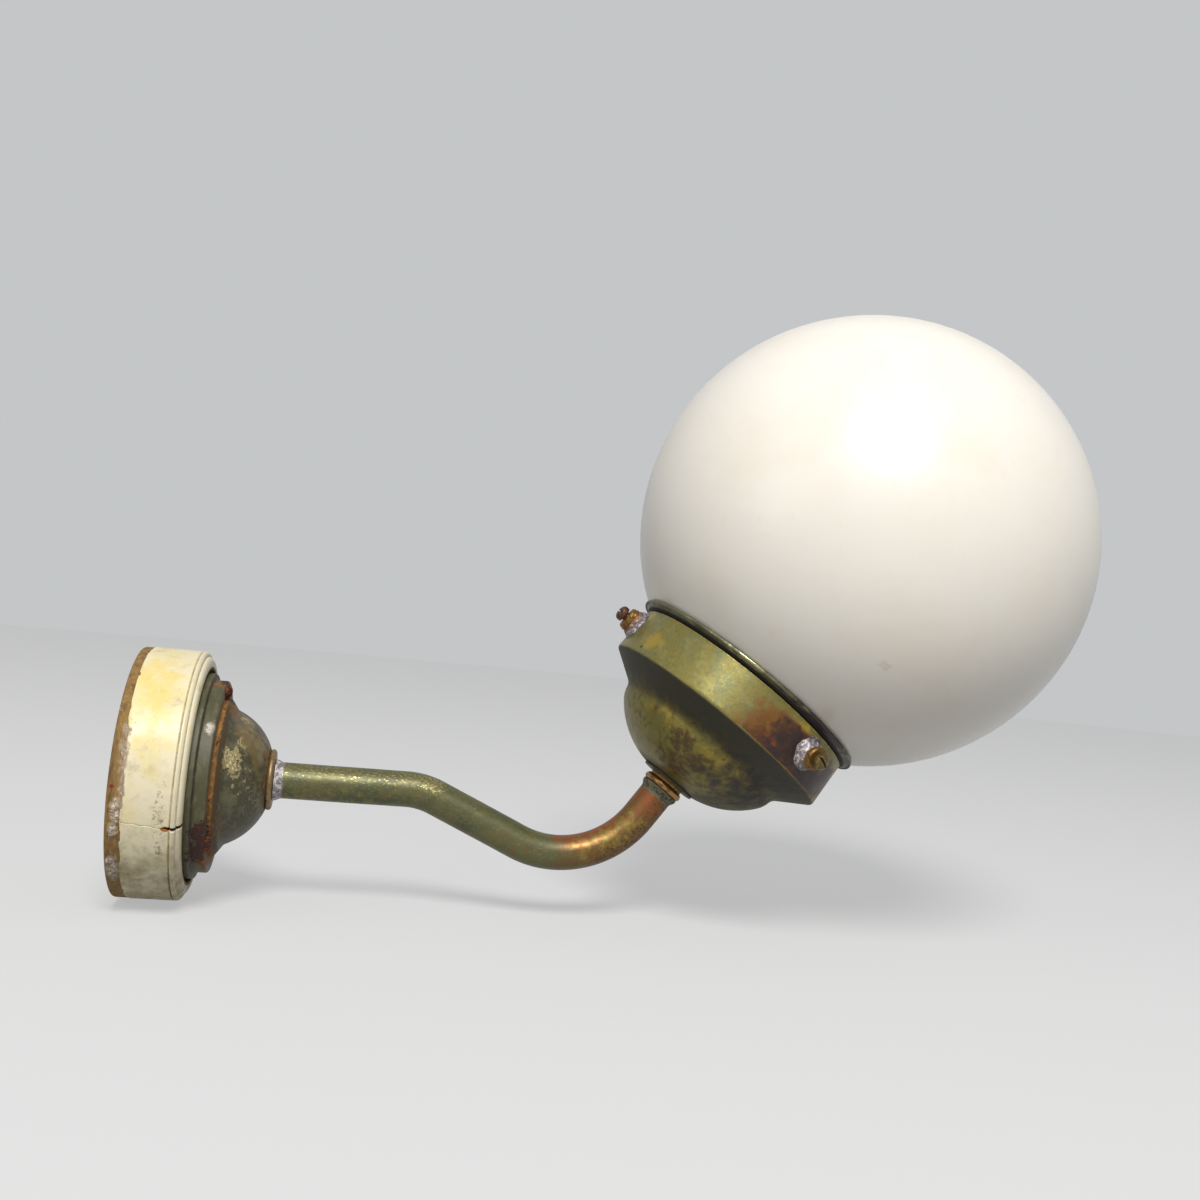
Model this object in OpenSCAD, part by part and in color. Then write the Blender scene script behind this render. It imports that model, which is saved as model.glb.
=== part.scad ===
// Old wall lamp: a turned wood block, a stepped rose, an S-shaped brass arm,
// a spun brass gallery with three screws, and an opal glass globe.
// Millimetres. The wall is the plane X = 0, +X points out of the wall, +Z is up.
// The origin is the centre of the block's back face, on the axis of the cable hole.

/* [Wall block] */
// Diameter of the turned block
block_d = 100; // [94:0.5:108]
// Depth of the block, from the wall to its front lip
block_h = 26.8; // [25:0.2:34]
// Thickness of the floor against the wall
block_floor = 6; // [4:0.5:8]
// Diameter of the wiring chamber in the block
chamber_d = 60; // [58:0.5:62]
// Diameter of the recess that takes the flange
recess_d = 85.8; // [85:0.2:88]
// Depth of that recess below the front lip
recess_depth = 3; // [2:0.2:4]
// Width of the lip in front of the recess
lip_w = 1.2; // [0.8:0.1:1.6]
// Radius of the bead beside the groove
bead_r = 1.6; // [1:0.1:2]
// Distance of the turned groove behind the front lip
groove_back = 3.8; // [3.4:0.1:5]
// Width of the groove
groove_w = 0.8; // [0.4:0.1:1.2]
// Depth of the groove
groove_depth = 0.8; // [0.4:0.1:1.2]
// Chamfer of the edge against the wall
back_chamfer = 0.8; // [0.2:0.1:2]
// Diameter of the cable hole in the floor
cable_hole_d = 12; // [8:0.5:14]
// Distance between the two wall screws
wall_screw_pitch = 42; // [38:1:44]
// Diameter of the holes for the wall screws
wall_screw_hole_d = 4.8; // [4:0.1:5.5]
// Diameter of the countersinks of those holes
wall_screw_sink_d = 9; // [8:0.5:10]

/* [Rose flange] */
// Diameter of the lower step, in the recess
flange_d1 = 82.6; // [81:0.2:84]
// Diameter of the upper step
flange_d2 = 77.4; // [76.6:0.2:79]
// Height of the lower step
flange_h1 = 5.1; // [4:0.1:6]
// Height of the upper step
flange_h2 = 5; // [4:0.1:7]
// Diameter of the hole through the flange
flange_bore_d = 50; // [46:1:54]
// Rounding of the two front edges
flange_edge_r = 0.6; // [0.2:0.1:1]

/* [Rose dome] */
// Diameter of the rim on the flange
rose_rim_d = 63.9; // [61:0.1:64]
// Sheet thickness of the dome
rose_wall = 1.2; // [0.8:0.1:1.6]
// Height of the upright rim
rim_h = 1; // [0.6:0.1:2]
// Slant length of the foot between the rim and the dome
foot_len = 4.5; // [3:0.1:6]
// Slope of the foot, from the axis
foot_slope = 55; // [45:1:60]
// Radius of the hollow between the foot and the dome
foot_hollow_r = 2.5; // [1.5:0.1:4]
// Radius of the domed part
rose_dome_r = 25.5; // [22:0.1:27]
// Slope where the domed part starts, from the axis
rose_dome_start = 22.8; // [18:0.1:30]
// Slope where the domed part ends, from the axis
rose_dome_end = 68.8; // [60:0.1:72]
// Diameter of the brass collar on top of the dome
rose_collar_d = 24.8; // [22:0.2:28]
// Thickness of that collar
rose_collar_h = 2.4; // [1.6:0.1:3]

/* [Flange screws] */
// Distance of the three screws from the axis
flange_screw_at = 35.4; // [35.3:0.1:35.5]
// Angle of the first screw from straight up
flange_screw_turn = 10; // [0:1:119]
// Diameter of the heads
flange_screw_head_d = 6.4; // [6:0.1:6.4]
// Height of the round heads
flange_screw_head_h = 2.6; // [2:0.1:3.2]
// Diameter of the shanks
flange_screw_d = 3.5; // [3:0.1:4]
// Length of the shanks
flange_screw_len = 22; // [16:1:26]

/* [Arm] */
// Outside diameter of the tube
tube_d = 14.8; // [14.4:0.1:16]
// Wall of the tube
tube_wall = 1.2; // [1:0.1:1.4]
// Distance from the wall to the first bend
straight_1 = 109.5; // [90:0.5:140]
// Centreline radius of the first bend, downwards
bend_1_r = 31.7; // [20:0.1:60]
// Angle of the first bend
bend_1 = 24.2; // [15:0.1:40]
// Straight length between the bends
straight_2 = 38.9; // [20:0.1:60]
// Centreline radius of the second bend, upwards
bend_2_r = 42.5; // [30:0.1:60]
// Angle of the second bend
bend_2 = 78.9; // [60:0.1:100]
// Straight length after the second bend
straight_3 = 14; // [14:0.5:30]
// Length of tube inside the rose
tube_inside = 10; // [8:0.5:11]
// Height of the solder around the tube at each end
solder_h = 3.2; // [2:0.1:5]
// Width of the solder beside the tube
solder_w = 1.2; // [0.6:0.1:1.6]
// Height of the back nut
backnut_h = 5; // [4:0.5:6]
// Width of the back nut across its flats
backnut_af = 24; // [20:0.5:25]

/* [Gallery] */
// Diameter of the ring under the gallery
ring_d = 18.4; // [17:0.2:22]
// Thickness of that ring
ring_h = 3.4; // [2:0.1:4]
// Height of the ring's hub
hub_h = 1.4; // [0.6:0.1:2]
// Diameter of the washer under the gallery
seat_washer_d = 25.2; // [22:0.2:27]
// Thickness of that washer
seat_washer_h = 1.2; // [0.8:0.1:2]
// Sheet thickness of the spun gallery
gallery_wall = 1.1; // [0.8:0.1:1.4]
// Diameter of the flat seat in its middle
gallery_seat_d = 27; // [26:0.5:30]
// Radius of the large arc of the dome
dome_r = 39; // [34:0.5:46]
// Slope where that arc ends, from the seat
dome_slope = 52; // [46:0.5:58]
// Radius of the small arc at the waist
waist_r = 12; // [8:0.5:16]
// Slope at the waist, from the seat
waist_slope = 78; // [72:0.5:84]
// Radius of the hollow under the shoulder
cove_r = 5; // [3:0.5:8]
// Slope of the shoulder, from the seat
shoulder_slope = 33; // [26:0.5:40]
// Space between the band and the collar on the glass
neck_gap = 1.65; // [1.2:0.05:2.4]
// Rounding between the shoulder and the band
shoulder_r = 1.2; // [0.8:0.1:3]
// Height of the band
band_h = 19.2; // [17:0.1:24]
// Angle at which the band leans inwards
band_lean = 2.5; // [0:0.5:3]

/* [Gallery screws] */
// Angle of the first screw around the gallery
gallery_screw_turn = 178; // [160:1:200]
// Depth of the screws below the top of the band
gallery_screw_drop = 8.9; // [8:0.1:11]
// Diameter of the soldered bushes
bush_d = 10; // [9:0.2:11]
// Length of the bushes beyond the band
bush_len = 6.2; // [5:0.1:8]
// Diameter of the solder at the foot of the bushes
bush_foot_d = 14.6; // [12:0.2:16]
// Height of that solder
bush_foot_h = 3.8; // [2:0.1:5]
// Diameter of the screw shanks
gallery_screw_d = 4; // [3.5:0.1:4.5]
// Diameter of the screw heads
gallery_head_d = 6.8; // [6:0.1:8]
// Height of the screw heads
gallery_head_h = 3.6; // [2.5:0.1:4.5]
// Space between the heads and the bushes
gallery_head_gap = 1; // [0.4:0.1:2]
// Width of the slots in all the screws
slot_w = 1; // [0.8:0.1:1.2]
// Depth of those slots
slot_depth = 1.2; // [0.8:0.1:1.6]

/* [Globe] */
// Outside diameter of the globe
globe_d = 200; // [190:1:210]
// Wall of the opal glass
glass_wall = 3; // [2:0.1:4]
// Outside diameter of the glass neck
neck_d = 97.2; // [94:0.2:98]
// Thickness of the cement in the collar
cement_w = 1; // [0.6:0.1:1.2]
// Sheet thickness of the collar on the neck
collar_wall = 0.9; // [0.7:0.1:1.1]
// Height of the collar's upright skirt
skirt_h = 11.6; // [9:0.1:12.5]
// How far the collar's flared edge stands out beyond the band
flare_lip = 2.85; // [2:0.05:3.6]
// Radius of the bead along that edge
flare_bead_r = 0.8; // [0.5:0.1:1]

/* [Lampholder and lamp] */
// Diameter of the threaded nipple
nipple_d = 12.2; // [11:0.1:12.2]
// Bore of the nipple
nipple_bore_d = 8.8; // [8:0.1:9.4]
// Length of the nipple
nipple_len = 32; // [30:0.5:32]
// Height of the lock nut in the gallery
locknut_h = 5; // [4:0.5:6]
// Width of the lock nut across its flats
locknut_af = 20; // [17:0.5:22]
// Diameter of the holder's brass cap
holder_d = 40; // [38:0.5:44]
// Sheet thickness of the cap
holder_wall = 0.9; // [0.7:0.1:1.2]
// Height of the cap's skirt
holder_skirt_h = 9; // [7:0.5:11]
// Height of the porcelain body
holder_body_h = 34; // [32:0.5:38]
// Inside diameter of the lamp's screw socket
socket_d = 27; // [26.9:0.1:27.4]
// Depth of that socket
socket_h = 22; // [20:0.5:24]
// Wall of the socket's brass shell
socket_wall = 0.5; // [0.4:0.1:0.7]
// Diameter of the lamp's cap
lamp_cap_d = 26.3; // [26:0.1:26.4]
// Diameter of the lamp's bulb
lamp_d = 60; // [54:1:64]
// Glass wall of the lamp
lamp_wall = 0.8; // [0.6:0.1:1]

/* [Wiring] */
// Diameter of the two insulated wires
wire_d = 2.4; // [2:0.1:2.6]
// Distance between the wires in the arm
wire_gap = 3.2; // [3:0.1:3.4]
// Width of the porcelain terminal block
terminal_w = 13; // [12:0.5:14]
// Length of the terminal block
terminal_len = 24; // [22:0.5:26]
// Height of the terminal block
terminal_h = 10; // [9:0.5:12]
// Distance of the terminal block from the axis
terminal_at = 16; // [15.5:0.1:17]
// Distance of each pole from the middle of the block
pole_at = 6; // [5.5:0.1:7]

/* [Hidden] */
$fn = 96;

// Clearances, and small amounts that let one cut run past a face
fit_gap = 0.1;      // between pieces that stay together
thread_gap = 0.05;  // between a screw and the hole it turns in
move_gap = 0.35;    // between pieces that part from each other
cut = 1;
arc_step = 4;
space_step = 6;

function last(v) = v[len(v) - 1];
function left_of(a) = [-sin(a), cos(a)];

// A profile is a list of [point, heading]. Each run is [0, length] for a straight
// or [radius, turn] for an arc, where a positive turn goes to the left.
function arc_points(p, a, r, t) =
    let (n = max(1, ceil(abs(t) / arc_step)), s = sign(t), c = p + s * r * left_of(a))
    [for (k = [1:n]) let (b = a + t * k / n) [c - s * r * left_of(b), b]];
function run_points(p, a, run) =
    run[0] == 0 ? [[p + run[1] * [cos(a), sin(a)], a]] : arc_points(p, a, run[0], run[1]);
function walk(start, runs, i = 0) =
    i == len(runs) ? start
    : walk(concat(start, run_points(last(start)[0], last(start)[1], runs[i])), runs, i + 1);

// The same in space: a frame is [place, heading, up], and a run is [length] for a
// straight or [radius, turn, sideways] for an arc, up or to the right when positive
function turned(v, axis, a) =
    v * cos(a) + cross(axis, v) * sin(a) + axis * (axis * v) * (1 - cos(a));
function right_of(f) = cross(f[1], f[2]);
function arc_frames(f, r, t, sideways) =
    let (n = ceil(abs(t) / space_step), axis = sideways ? -f[2] : right_of(f),
        c = f[0] + sign(t) * r * (sideways ? right_of(f) : f[2]))
    [for (k = [1:n]) let (b = t * k / n)
        [c + turned(f[0] - c, axis, b), turned(f[1], axis, b), turned(f[2], axis, b)]];
function run_frames(f, run) =
    len(run) == 1 ? [[f[0] + run[0] * f[1], f[1], f[2]]] : arc_frames(f, run[0], run[1], run[2]);
function fly(frames, runs, i = 0) =
    i == len(runs) ? frames : fly(concat(frames, run_frames(last(frames), runs[i])), runs, i + 1);

function outer_side(path) = [for (q = path) q[0]];
function inner_side(path, wall) =
    [for (i = [len(path) - 1:-1:0]) path[i][0] + wall * left_of(path[i][1])];

// Wall block
block_r = block_d / 2;
recess_floor = block_h - recess_depth;
groove_x = block_h - groove_back;
wall_sink_h = (wall_screw_sink_d - wall_screw_hole_d) / 2;

// Rose
flange_mid = recess_floor + flange_h1;
flange_front = flange_mid + flange_h2;
crown_edge_r = 1;
rose_start = [[[rose_rim_d / 2, flange_front], 90]];
rose_side = walk(rose_start, [[0, rim_h], [1, foot_slope], [0, foot_len],
    [foot_hollow_r, rose_dome_start - foot_slope], [rose_dome_r, rose_dome_end - rose_dome_start],
    [crown_edge_r, 90 - rose_dome_end]]);
tube_hole_r = tube_d / 2 + fit_gap;
rose_path = walk(rose_side, [[0, last(rose_side)[0][0] - tube_hole_r]]);
rose_top = last(rose_side)[0][1];
rose_under = rose_top - rose_wall;
collar_top = rose_top + rose_collar_h;
flange_screw_hole_d = flange_screw_d + 0.5;
pilot_depth = flange_screw_len - flange_h1 - flange_h2;

// Arm
tube_r = tube_d / 2;
bore_r = tube_r - tube_wall;
arm_slope = bend_2 - bend_1;
bend_1_end = [straight_1 + bend_1_r * sin(bend_1), 0, -bend_1_r * (1 - cos(bend_1))];
bend_2_start = bend_1_end + straight_2 * [cos(bend_1), 0, -sin(bend_1)];
bend_2_end = bend_2_start
    + bend_2_r * [sin(arm_slope) + sin(bend_1), 0, cos(bend_1) - cos(arm_slope)];
arm_end = bend_2_end + straight_3 * [cos(arm_slope), 0, sin(arm_slope)];
tube_start = rose_under - tube_inside;
arm_runs = [[bend_1_r, -bend_1, false], [straight_2], [bend_2_r, bend_2, false]];
function arm_frames(x, end_len) =
    fly([[[x, 0, 0], [1, 0, 0], [0, 0, 1]]], concat([[straight_1 - x]], arm_runs, [[end_len]]));
function stop_at(x, r) = [[[x, 0, 0], [1, 0, 0], [0, 0, 1]], r];
back_washer_h = 0.6;
back_washer_d = backnut_af;

// Gallery, in its own frame: z runs along its axis from the end of the arm
nipple_hole_r = nipple_d / 2 + thread_gap;
ring_z = 0.8;
hub_z = ring_z + ring_h;
washer_z = hub_z + hub_h;
seat_z = washer_z + seat_washer_h;
seat_edge_r = 3;
dome_start = 11;
gallery_dome = walk([[[nipple_hole_r, seat_z], 0]], [[0, gallery_seat_d / 2 - nipple_hole_r],
    [seat_edge_r, dome_start], [dome_r, dome_slope - dome_start],
    [waist_r, waist_slope - dome_slope], [cove_r, shoulder_slope - waist_slope]]);
// The shoulder is as long as the band around the glass needs
neck_r = neck_d / 2;
skirt_r = neck_r + 2 * thread_gap + cement_w + collar_wall;
band_inner_top_r = skirt_r + neck_gap;
band_top_r = band_inner_top_r + gallery_wall / cos(band_lean);
band_foot_r = band_top_r + band_h * sin(band_lean);
shoulder_end_r = band_foot_r - shoulder_r * (cos(band_lean) - sin(shoulder_slope));
shoulder_len = (shoulder_end_r - last(gallery_dome)[0][0]) / cos(shoulder_slope);
gallery_path = walk(gallery_dome, [[0, shoulder_len], [shoulder_r, 90 + band_lean - shoulder_slope],
    [0, band_h]]);
band_top_z = last(gallery_path)[0][1];
screw_z = band_top_z - gallery_screw_drop;
band_at_screw_r = band_top_r + gallery_screw_drop * tan(band_lean);
bush_end_r = band_at_screw_r + bush_len;
head_r_at = bush_end_r + gallery_head_gap;

// Globe and its collar: the flare follows the glass at a small distance, and
// rests just above the inner edge of the band
globe_r = globe_d / 2;
flare_r = globe_r + 3 * fit_gap + collar_wall;
flare_bend_r = 1.2;
globe_z = band_top_z + move_gap + sqrt(flare_r * flare_r - band_inner_top_r * band_inner_top_r);
flare_start = asin((skirt_r + flare_bend_r / 2) / flare_r);
flare_end = asin((band_top_r + flare_lip) / flare_r);
skirt_top_z = globe_z - flare_r * cos(flare_start) - flare_bend_r * cos(flare_start);
skirt_z = skirt_top_z - skirt_h;
collar_path = walk([[[skirt_r, skirt_z], 90]], [[0, skirt_h], [flare_bend_r, flare_start - 90],
    [flare_r, flare_end - flare_start]]);
neck_z = skirt_z;
neck_inner_r = neck_r - glass_wall;
neck_bore_z = min(neck_z, globe_z - globe_r) - cut;
cement_end = 1;
tip_r = skirt_r + move_gap;

// Lampholder, in the gallery's frame
locknut_z = seat_z + gallery_wall;
holder_z = locknut_z + locknut_h + 0.3;
nipple_z = -straight_3 + 1;
nipple_top = nipple_z + nipple_len;
cap_neck_r = 9;
cap_neck_h = 4;
cap_start = walk([[[cap_neck_r, holder_z], 90]], [[0, cap_neck_h], [4, -65]]);
cap_edge_r = 3;
cap_cone = (holder_d / 2 - last(cap_start)[0][0] - cap_edge_r * (1 - sin(25))) / cos(25);
cap_path = walk(cap_start, [[0, cap_cone], [cap_edge_r, 65], [0, holder_skirt_h]]);
cap_shoulder_z = last(cap_path)[0][1] - holder_skirt_h;
hub_top = holder_z + 6;
body_r = holder_d / 2 - holder_wall - fit_gap;
body_z = cap_shoulder_z + 3;
body_top = body_z + holder_body_h;
socket_r = socket_d / 2;
shell_top = body_top - 1;
shell_z = shell_top - socket_h;
contact_z = shell_z - 1;
pole_gap = 18;
pole_w = 6;
pole_depth = 6;

// Lamp
lamp_tip_z = contact_z + 1.2 + 0.3;
lamp_cap_r = lamp_cap_d / 2;
lamp_cap_z = lamp_tip_z + 2;
lamp_cap_top = lamp_cap_z + 25;
lamp_neck_r = lamp_cap_r - 0.4 - fit_gap;
lamp_neck_slope = 65;
lamp_neck = walk([[[lamp_neck_r, lamp_cap_top - 9], 90]], [[0, 11], [10, lamp_neck_slope - 90]]);
lamp_cone = (lamp_d / 2 * sin(lamp_neck_slope) - last(lamp_neck)[0][0]) / cos(lamp_neck_slope);
lamp_path = walk(lamp_neck, [[0, lamp_cone], [lamp_d / 2, 180 - lamp_neck_slope]]);

// Wires: each leaves its pole, draws in to the middle plane, then crosses to the arm
terminal_front = block_floor + terminal_h;
wire_r = wire_d / 2;
draw_in_len = 10;
cross_r = 10;
wire_start = terminal_front - 2;
draw_in_x = terminal_front + 2;
cross_x = draw_in_x + draw_in_len;
cross_turn = acos(1 - terminal_at / (2 * cross_r));
cross_end = cross_x + 2 * cross_r * sin(cross_turn);
spread_z = nipple_top - 0.5;
spread_len = body_z - spread_z;

// Puts what is drawn along Z on the lamp's axis, pointing out of the wall
module out_of_wall(x = 0) {
    translate([x, 0, 0]) rotate([0, 90, 0]) children();
}

// Puts what is drawn along Z on the gallery's axis, from the end of the arm
module on_arm_end(z = 0) {
    translate(arm_end) rotate([0, 90 - arm_slope, 0]) translate([0, 0, z]) children();
}

module around(n, start = 0) {
    for (i = [0:n - 1]) rotate([0, 0, start + i * 360 / n]) children();
}

// Sheet metal or glass turned from a profile, with its wall on the inner side
module turned_shell(path, wall) {
    rotate_extrude() polygon(concat(outer_side(path), inner_side(path, wall)));
}

// A solid with a ring of n points around each stop, where a stop is [frame, radius];
// a loop closes onto its first ring, as the outside and the bore of a tube do
module swept(stops, n, loop) {
    count = len(stops);
    ring = [for (i = [0:n - 1]) i];
    points = [for (q = stops, i = ring) let (a = i * 360 / n)
        q[0][0] + q[1] * (cos(a) * q[0][2] + sin(a) * right_of(q[0]))];
    sides = [for (k = [0:(loop ? count : count - 1) - 1], i = ring)
        let (here = k * n, there = (k + 1) % count * n, j = (i + 1) % n)
        [here + i, there + i, there + j, here + j]];
    ends = loop ? [] : [ring, [for (i = ring) count * n - 1 - i]];
    polyhedron(points, concat(sides, ends));
}

module disc(r, h, hole = 0) {
    difference() {
        cylinder(r = r, h = h);
        if (hole > 0) translate([0, 0, -cut]) cylinder(r = hole, h = h + 2 * cut);
    }
}

// A disc whose whole edge is rounded
module round_edged_disc(r, h, hole) {
    difference() {
        union() {
            cylinder(r = r - h / 2, h = h);
            translate([0, 0, h / 2]) rotate_extrude() translate([r - h / 2, 0]) circle(r = h / 2, $fn = 32);
        }
        translate([0, 0, -cut]) cylinder(r = hole, h = h + 2 * cut);
    }
}

module hex_nut(af, h, hole) {
    difference() {
        cylinder(r = af / 2 / cos(30), h = h, $fn = 6);
        translate([0, 0, -cut]) cylinder(r = hole, h = h + 2 * cut);
    }
}

// A slotted round head that stands on z = 0, with its slot along X
module round_head(d, h) {
    ball_r = (d * d / 4 + h * h) / (2 * h);
    difference() {
        intersection() {
            translate([0, 0, h - ball_r]) sphere(r = ball_r);
            cylinder(r = d / 2, h = h + cut);
        }
        translate([-d, -slot_w / 2, h - slot_depth]) cube([2 * d, slot_w, slot_depth + cut]);
    }
}

// A quarter-round front edge for a step of the flange, as [radius, x] points
function edge_points(r, x) =
    [for (k = [0:4]) let (a = k * 90 / 4)
        [r - flange_edge_r * (1 - cos(a)), x - flange_edge_r * (1 - sin(a))]];

module flange_screw_places() {
    for (i = [0:2]) rotate([flange_screw_turn + i * 120, 0, 0]) translate([0, 0, flange_screw_at]) children();
}

module wall_block() {
    bead_x = groove_x + groove_w / 2;
    lip_r = recess_d / 2 + lip_w;
    side = [[0, 0], [block_r - back_chamfer, 0], [block_r, back_chamfer],
            [block_r, groove_x - groove_w / 2], [block_r - groove_depth, groove_x]];
    bead = [for (k = [0:6]) let (a = k * 75 / 6)
        [block_r - bead_r * (1 - cos(a)), bead_x + bead_r * sin(a)]];
    color("wheat") difference() {
        out_of_wall() rotate_extrude() polygon(concat(side, bead, [[lip_r, block_h], [0, block_h]]));
        out_of_wall(recess_floor) cylinder(d = recess_d, h = recess_depth + cut);
        out_of_wall(block_floor) cylinder(d = chamber_d, h = block_h);
        out_of_wall(-cut) cylinder(d = cable_hole_d, h = block_floor + 2 * cut);
        for (s = [-1, 1]) translate([0, 0, s * wall_screw_pitch / 2]) {
            out_of_wall(-cut) cylinder(d = wall_screw_hole_d, h = block_floor + 2 * cut);
            out_of_wall(block_floor - wall_sink_h)
                cylinder(d1 = wall_screw_hole_d, d2 = wall_screw_sink_d, h = wall_sink_h);
        }
        flange_screw_places() out_of_wall(recess_floor - pilot_depth)
            cylinder(d = flange_screw_d + 2 * thread_gap, h = pilot_depth + cut);
        translate([0, terminal_at, 0]) out_of_wall(block_floor - 4) cylinder(r = 1.3, h = 4 + cut);
    }
}

module rose_flange() {
    color("darkseagreen") difference() {
        out_of_wall() rotate_extrude() polygon(concat(
            [[flange_bore_d / 2, recess_floor], [flange_d1 / 2, recess_floor]],
            edge_points(flange_d1 / 2, flange_mid), [[flange_d2 / 2, flange_mid]],
            edge_points(flange_d2 / 2, flange_front), [[flange_bore_d / 2, flange_front]]));
        flange_screw_places() out_of_wall(recess_floor - cut)
            cylinder(d = flange_screw_hole_d, h = flange_h1 + flange_h2 + 2 * cut);
    }
}

module flange_screws() {
    color("saddlebrown") flange_screw_places() {
        out_of_wall(flange_front - flange_screw_len) cylinder(d = flange_screw_d, h = flange_screw_len);
        out_of_wall(flange_front) round_head(flange_screw_head_d, flange_screw_head_h);
    }
}

module rose_dome() {
    color("olivedrab") out_of_wall() turned_shell(rose_path, rose_wall);
}

module rose_collar() {
    color("darkkhaki") out_of_wall(rose_top) round_edged_disc(rose_collar_d / 2, rose_collar_h, tube_hole_r);
}

module arm_tube() {
    inside = arm_frames(tube_start, straight_3 + ring_z);
    bends = arm_frames(collar_top + solder_h, straight_3 + ring_z - solder_h);
    outside = concat([stop_at(tube_start, tube_r), stop_at(collar_top, tube_r),
        stop_at(collar_top, tube_r + solder_w)], [for (f = bends) [f, tube_r]],
        [[last(inside), tube_r + solder_w]]);
    color("darkolivegreen") swept(concat(outside,
        [for (i = [len(inside) - 1:-1:0]) [inside[i], bore_r]]), 36, true);
}

module arm_back_washer() {
    color("goldenrod") out_of_wall(rose_under - back_washer_h) disc(back_washer_d / 2, back_washer_h, tube_hole_r);
}

module arm_back_nut() {
    color("goldenrod") out_of_wall(rose_under - back_washer_h - backnut_h)
        hex_nut(backnut_af, backnut_h, tube_r + thread_gap);
}

// Boxes of the two brass poles, larger by g on every side
module pole_boxes(g) {
    for (s = [-1, 1]) translate([terminal_front - pole_depth - g, terminal_at - 4.8 - g, s * pole_at - 2.7 - g])
        cube([pole_depth + 2 * g, 9.6 + 2 * g, 5.4 + 2 * g]);
}

module terminal_block() {
    color("ivory") difference() {
        translate([block_floor, terminal_at - terminal_w / 2, -terminal_len / 2])
            cube([terminal_h, terminal_w, terminal_len]);
        pole_boxes(fit_gap);
        translate([0, terminal_at, 0]) out_of_wall(block_floor - cut) cylinder(r = 1.6, h = terminal_h + 2 * cut);
        translate([0, terminal_at, 0]) out_of_wall(terminal_front - 2.2) cylinder(r = 2.9, h = 2.2 + cut);
    }
}

// Where the wire and the screw of each pole go in, s = 1 for live and -1 for neutral
function wire_side(s) = terminal_at + s * wire_gap / 2;
function screw_side(s) = terminal_at - s * 3;

module terminal_inserts() {
    color("goldenrod") difference() {
        pole_boxes(0);
        for (s = [-1, 1]) {
            translate([0, wire_side(s), s * pole_at]) out_of_wall(wire_start - 1) cylinder(r = wire_r + fit_gap, h = 3 + cut);
            translate([0, screw_side(s), s * pole_at]) out_of_wall(terminal_front - 4) cylinder(r = 1.25, h = 4 + cut);
        }
    }
}

module terminal_screws() {
    color("silver") {
        for (s = [-1, 1]) translate([0, screw_side(s), s * pole_at]) {
            out_of_wall(terminal_front - 3.8) cylinder(r = 1.2, h = 3.8);
            out_of_wall(terminal_front) round_head(3.6, 1.6);
        }
        translate([0, terminal_at, 0]) {
            out_of_wall(block_floor - 3.8) cylinder(r = 1.25, h = terminal_h - 2.2 + 3.8);
            out_of_wall(terminal_front - 2.2) round_head(5.4, 2.1);
        }
    }
}

// A wire leaves its pole, draws in to the middle plane, crosses to the arm, runs
// through it and through the nipple, and spreads to its pole in the lampholder
module wire(s) {
    in_turn = 2 * atan(pole_at / draw_in_len);
    in_r = draw_in_len / 2 / sin(in_turn);
    out_turn = 2 * atan((pole_gap - wire_gap) / 2 / spread_len);
    out_r = spread_len / 2 / sin(out_turn);
    side = s * wire_gap / 2;
    frames = fly([[[wire_start, terminal_at + side, s * pole_at], [1, 0, 0], [0, 0, 1]]], concat(
        [[draw_in_x - wire_start], [in_r, -s * in_turn, false], [in_r, s * in_turn, false],
        [cross_r + side, cross_turn, true], [cross_r - side, -cross_turn, true],
        [straight_1 - cross_end]], arm_runs, [[straight_3 + spread_z],
        [out_r, -s * out_turn, true], [out_r, s * out_turn, true], [2]]));
    swept([for (f = frames) [f, wire_r]], 12, false);
}

module wire_live() {
    color("firebrick") wire(1);
}

module wire_neutral() {
    color("dimgray") wire(-1);
}

module gallery_ring() {
    color("goldenrod") on_arm_end(ring_z) {
        round_edged_disc(ring_d / 2, ring_h, nipple_hole_r);
        translate([0, 0, ring_h]) disc(ring_d / 2 - 1.4, hub_h, nipple_hole_r);
    }
}

module seat_washer() {
    color("darkkhaki") on_arm_end(washer_z) disc(seat_washer_d / 2, seat_washer_h, nipple_hole_r);
}

module gallery_screw_places() {
    around(3, gallery_screw_turn) translate([0, 0, screw_z]) rotate([0, 90, 0]) children();
}

module gallery() {
    color("darkgoldenrod") on_arm_end() difference() {
        turned_shell(gallery_path, gallery_wall);
        gallery_screw_places() cylinder(d = gallery_screw_d + 1, h = band_at_screw_r + cut);
    }
}

module screw_bushes() {
    foot_at = band_at_screw_r - 1.5;
    color("silver") on_arm_end() difference() {
        gallery_screw_places() {
            translate([0, 0, foot_at]) cylinder(d = bush_d, h = bush_end_r - foot_at);
            translate([0, 0, foot_at])
                cylinder(d1 = bush_foot_d, d2 = bush_d, h = bush_foot_h + band_at_screw_r - foot_at);
        }
        gallery_screw_places() cylinder(d = gallery_screw_d + 2 * thread_gap, h = bush_end_r + cut);
        translate([0, 0, screw_z - bush_foot_d]) cylinder(r1 = band_at_screw_r + bush_foot_d * tan(band_lean) + thread_gap,
            r2 = band_at_screw_r - bush_foot_d * tan(band_lean) + thread_gap, h = 2 * bush_foot_d);
    }
}

module gallery_nipple() {
    color("goldenrod") on_arm_end(nipple_z) disc(nipple_d / 2, nipple_len, nipple_bore_d / 2);
}

module gallery_locknut() {
    color("goldenrod") on_arm_end(locknut_z) hex_nut(locknut_af, locknut_h, nipple_hole_r);
}

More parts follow.
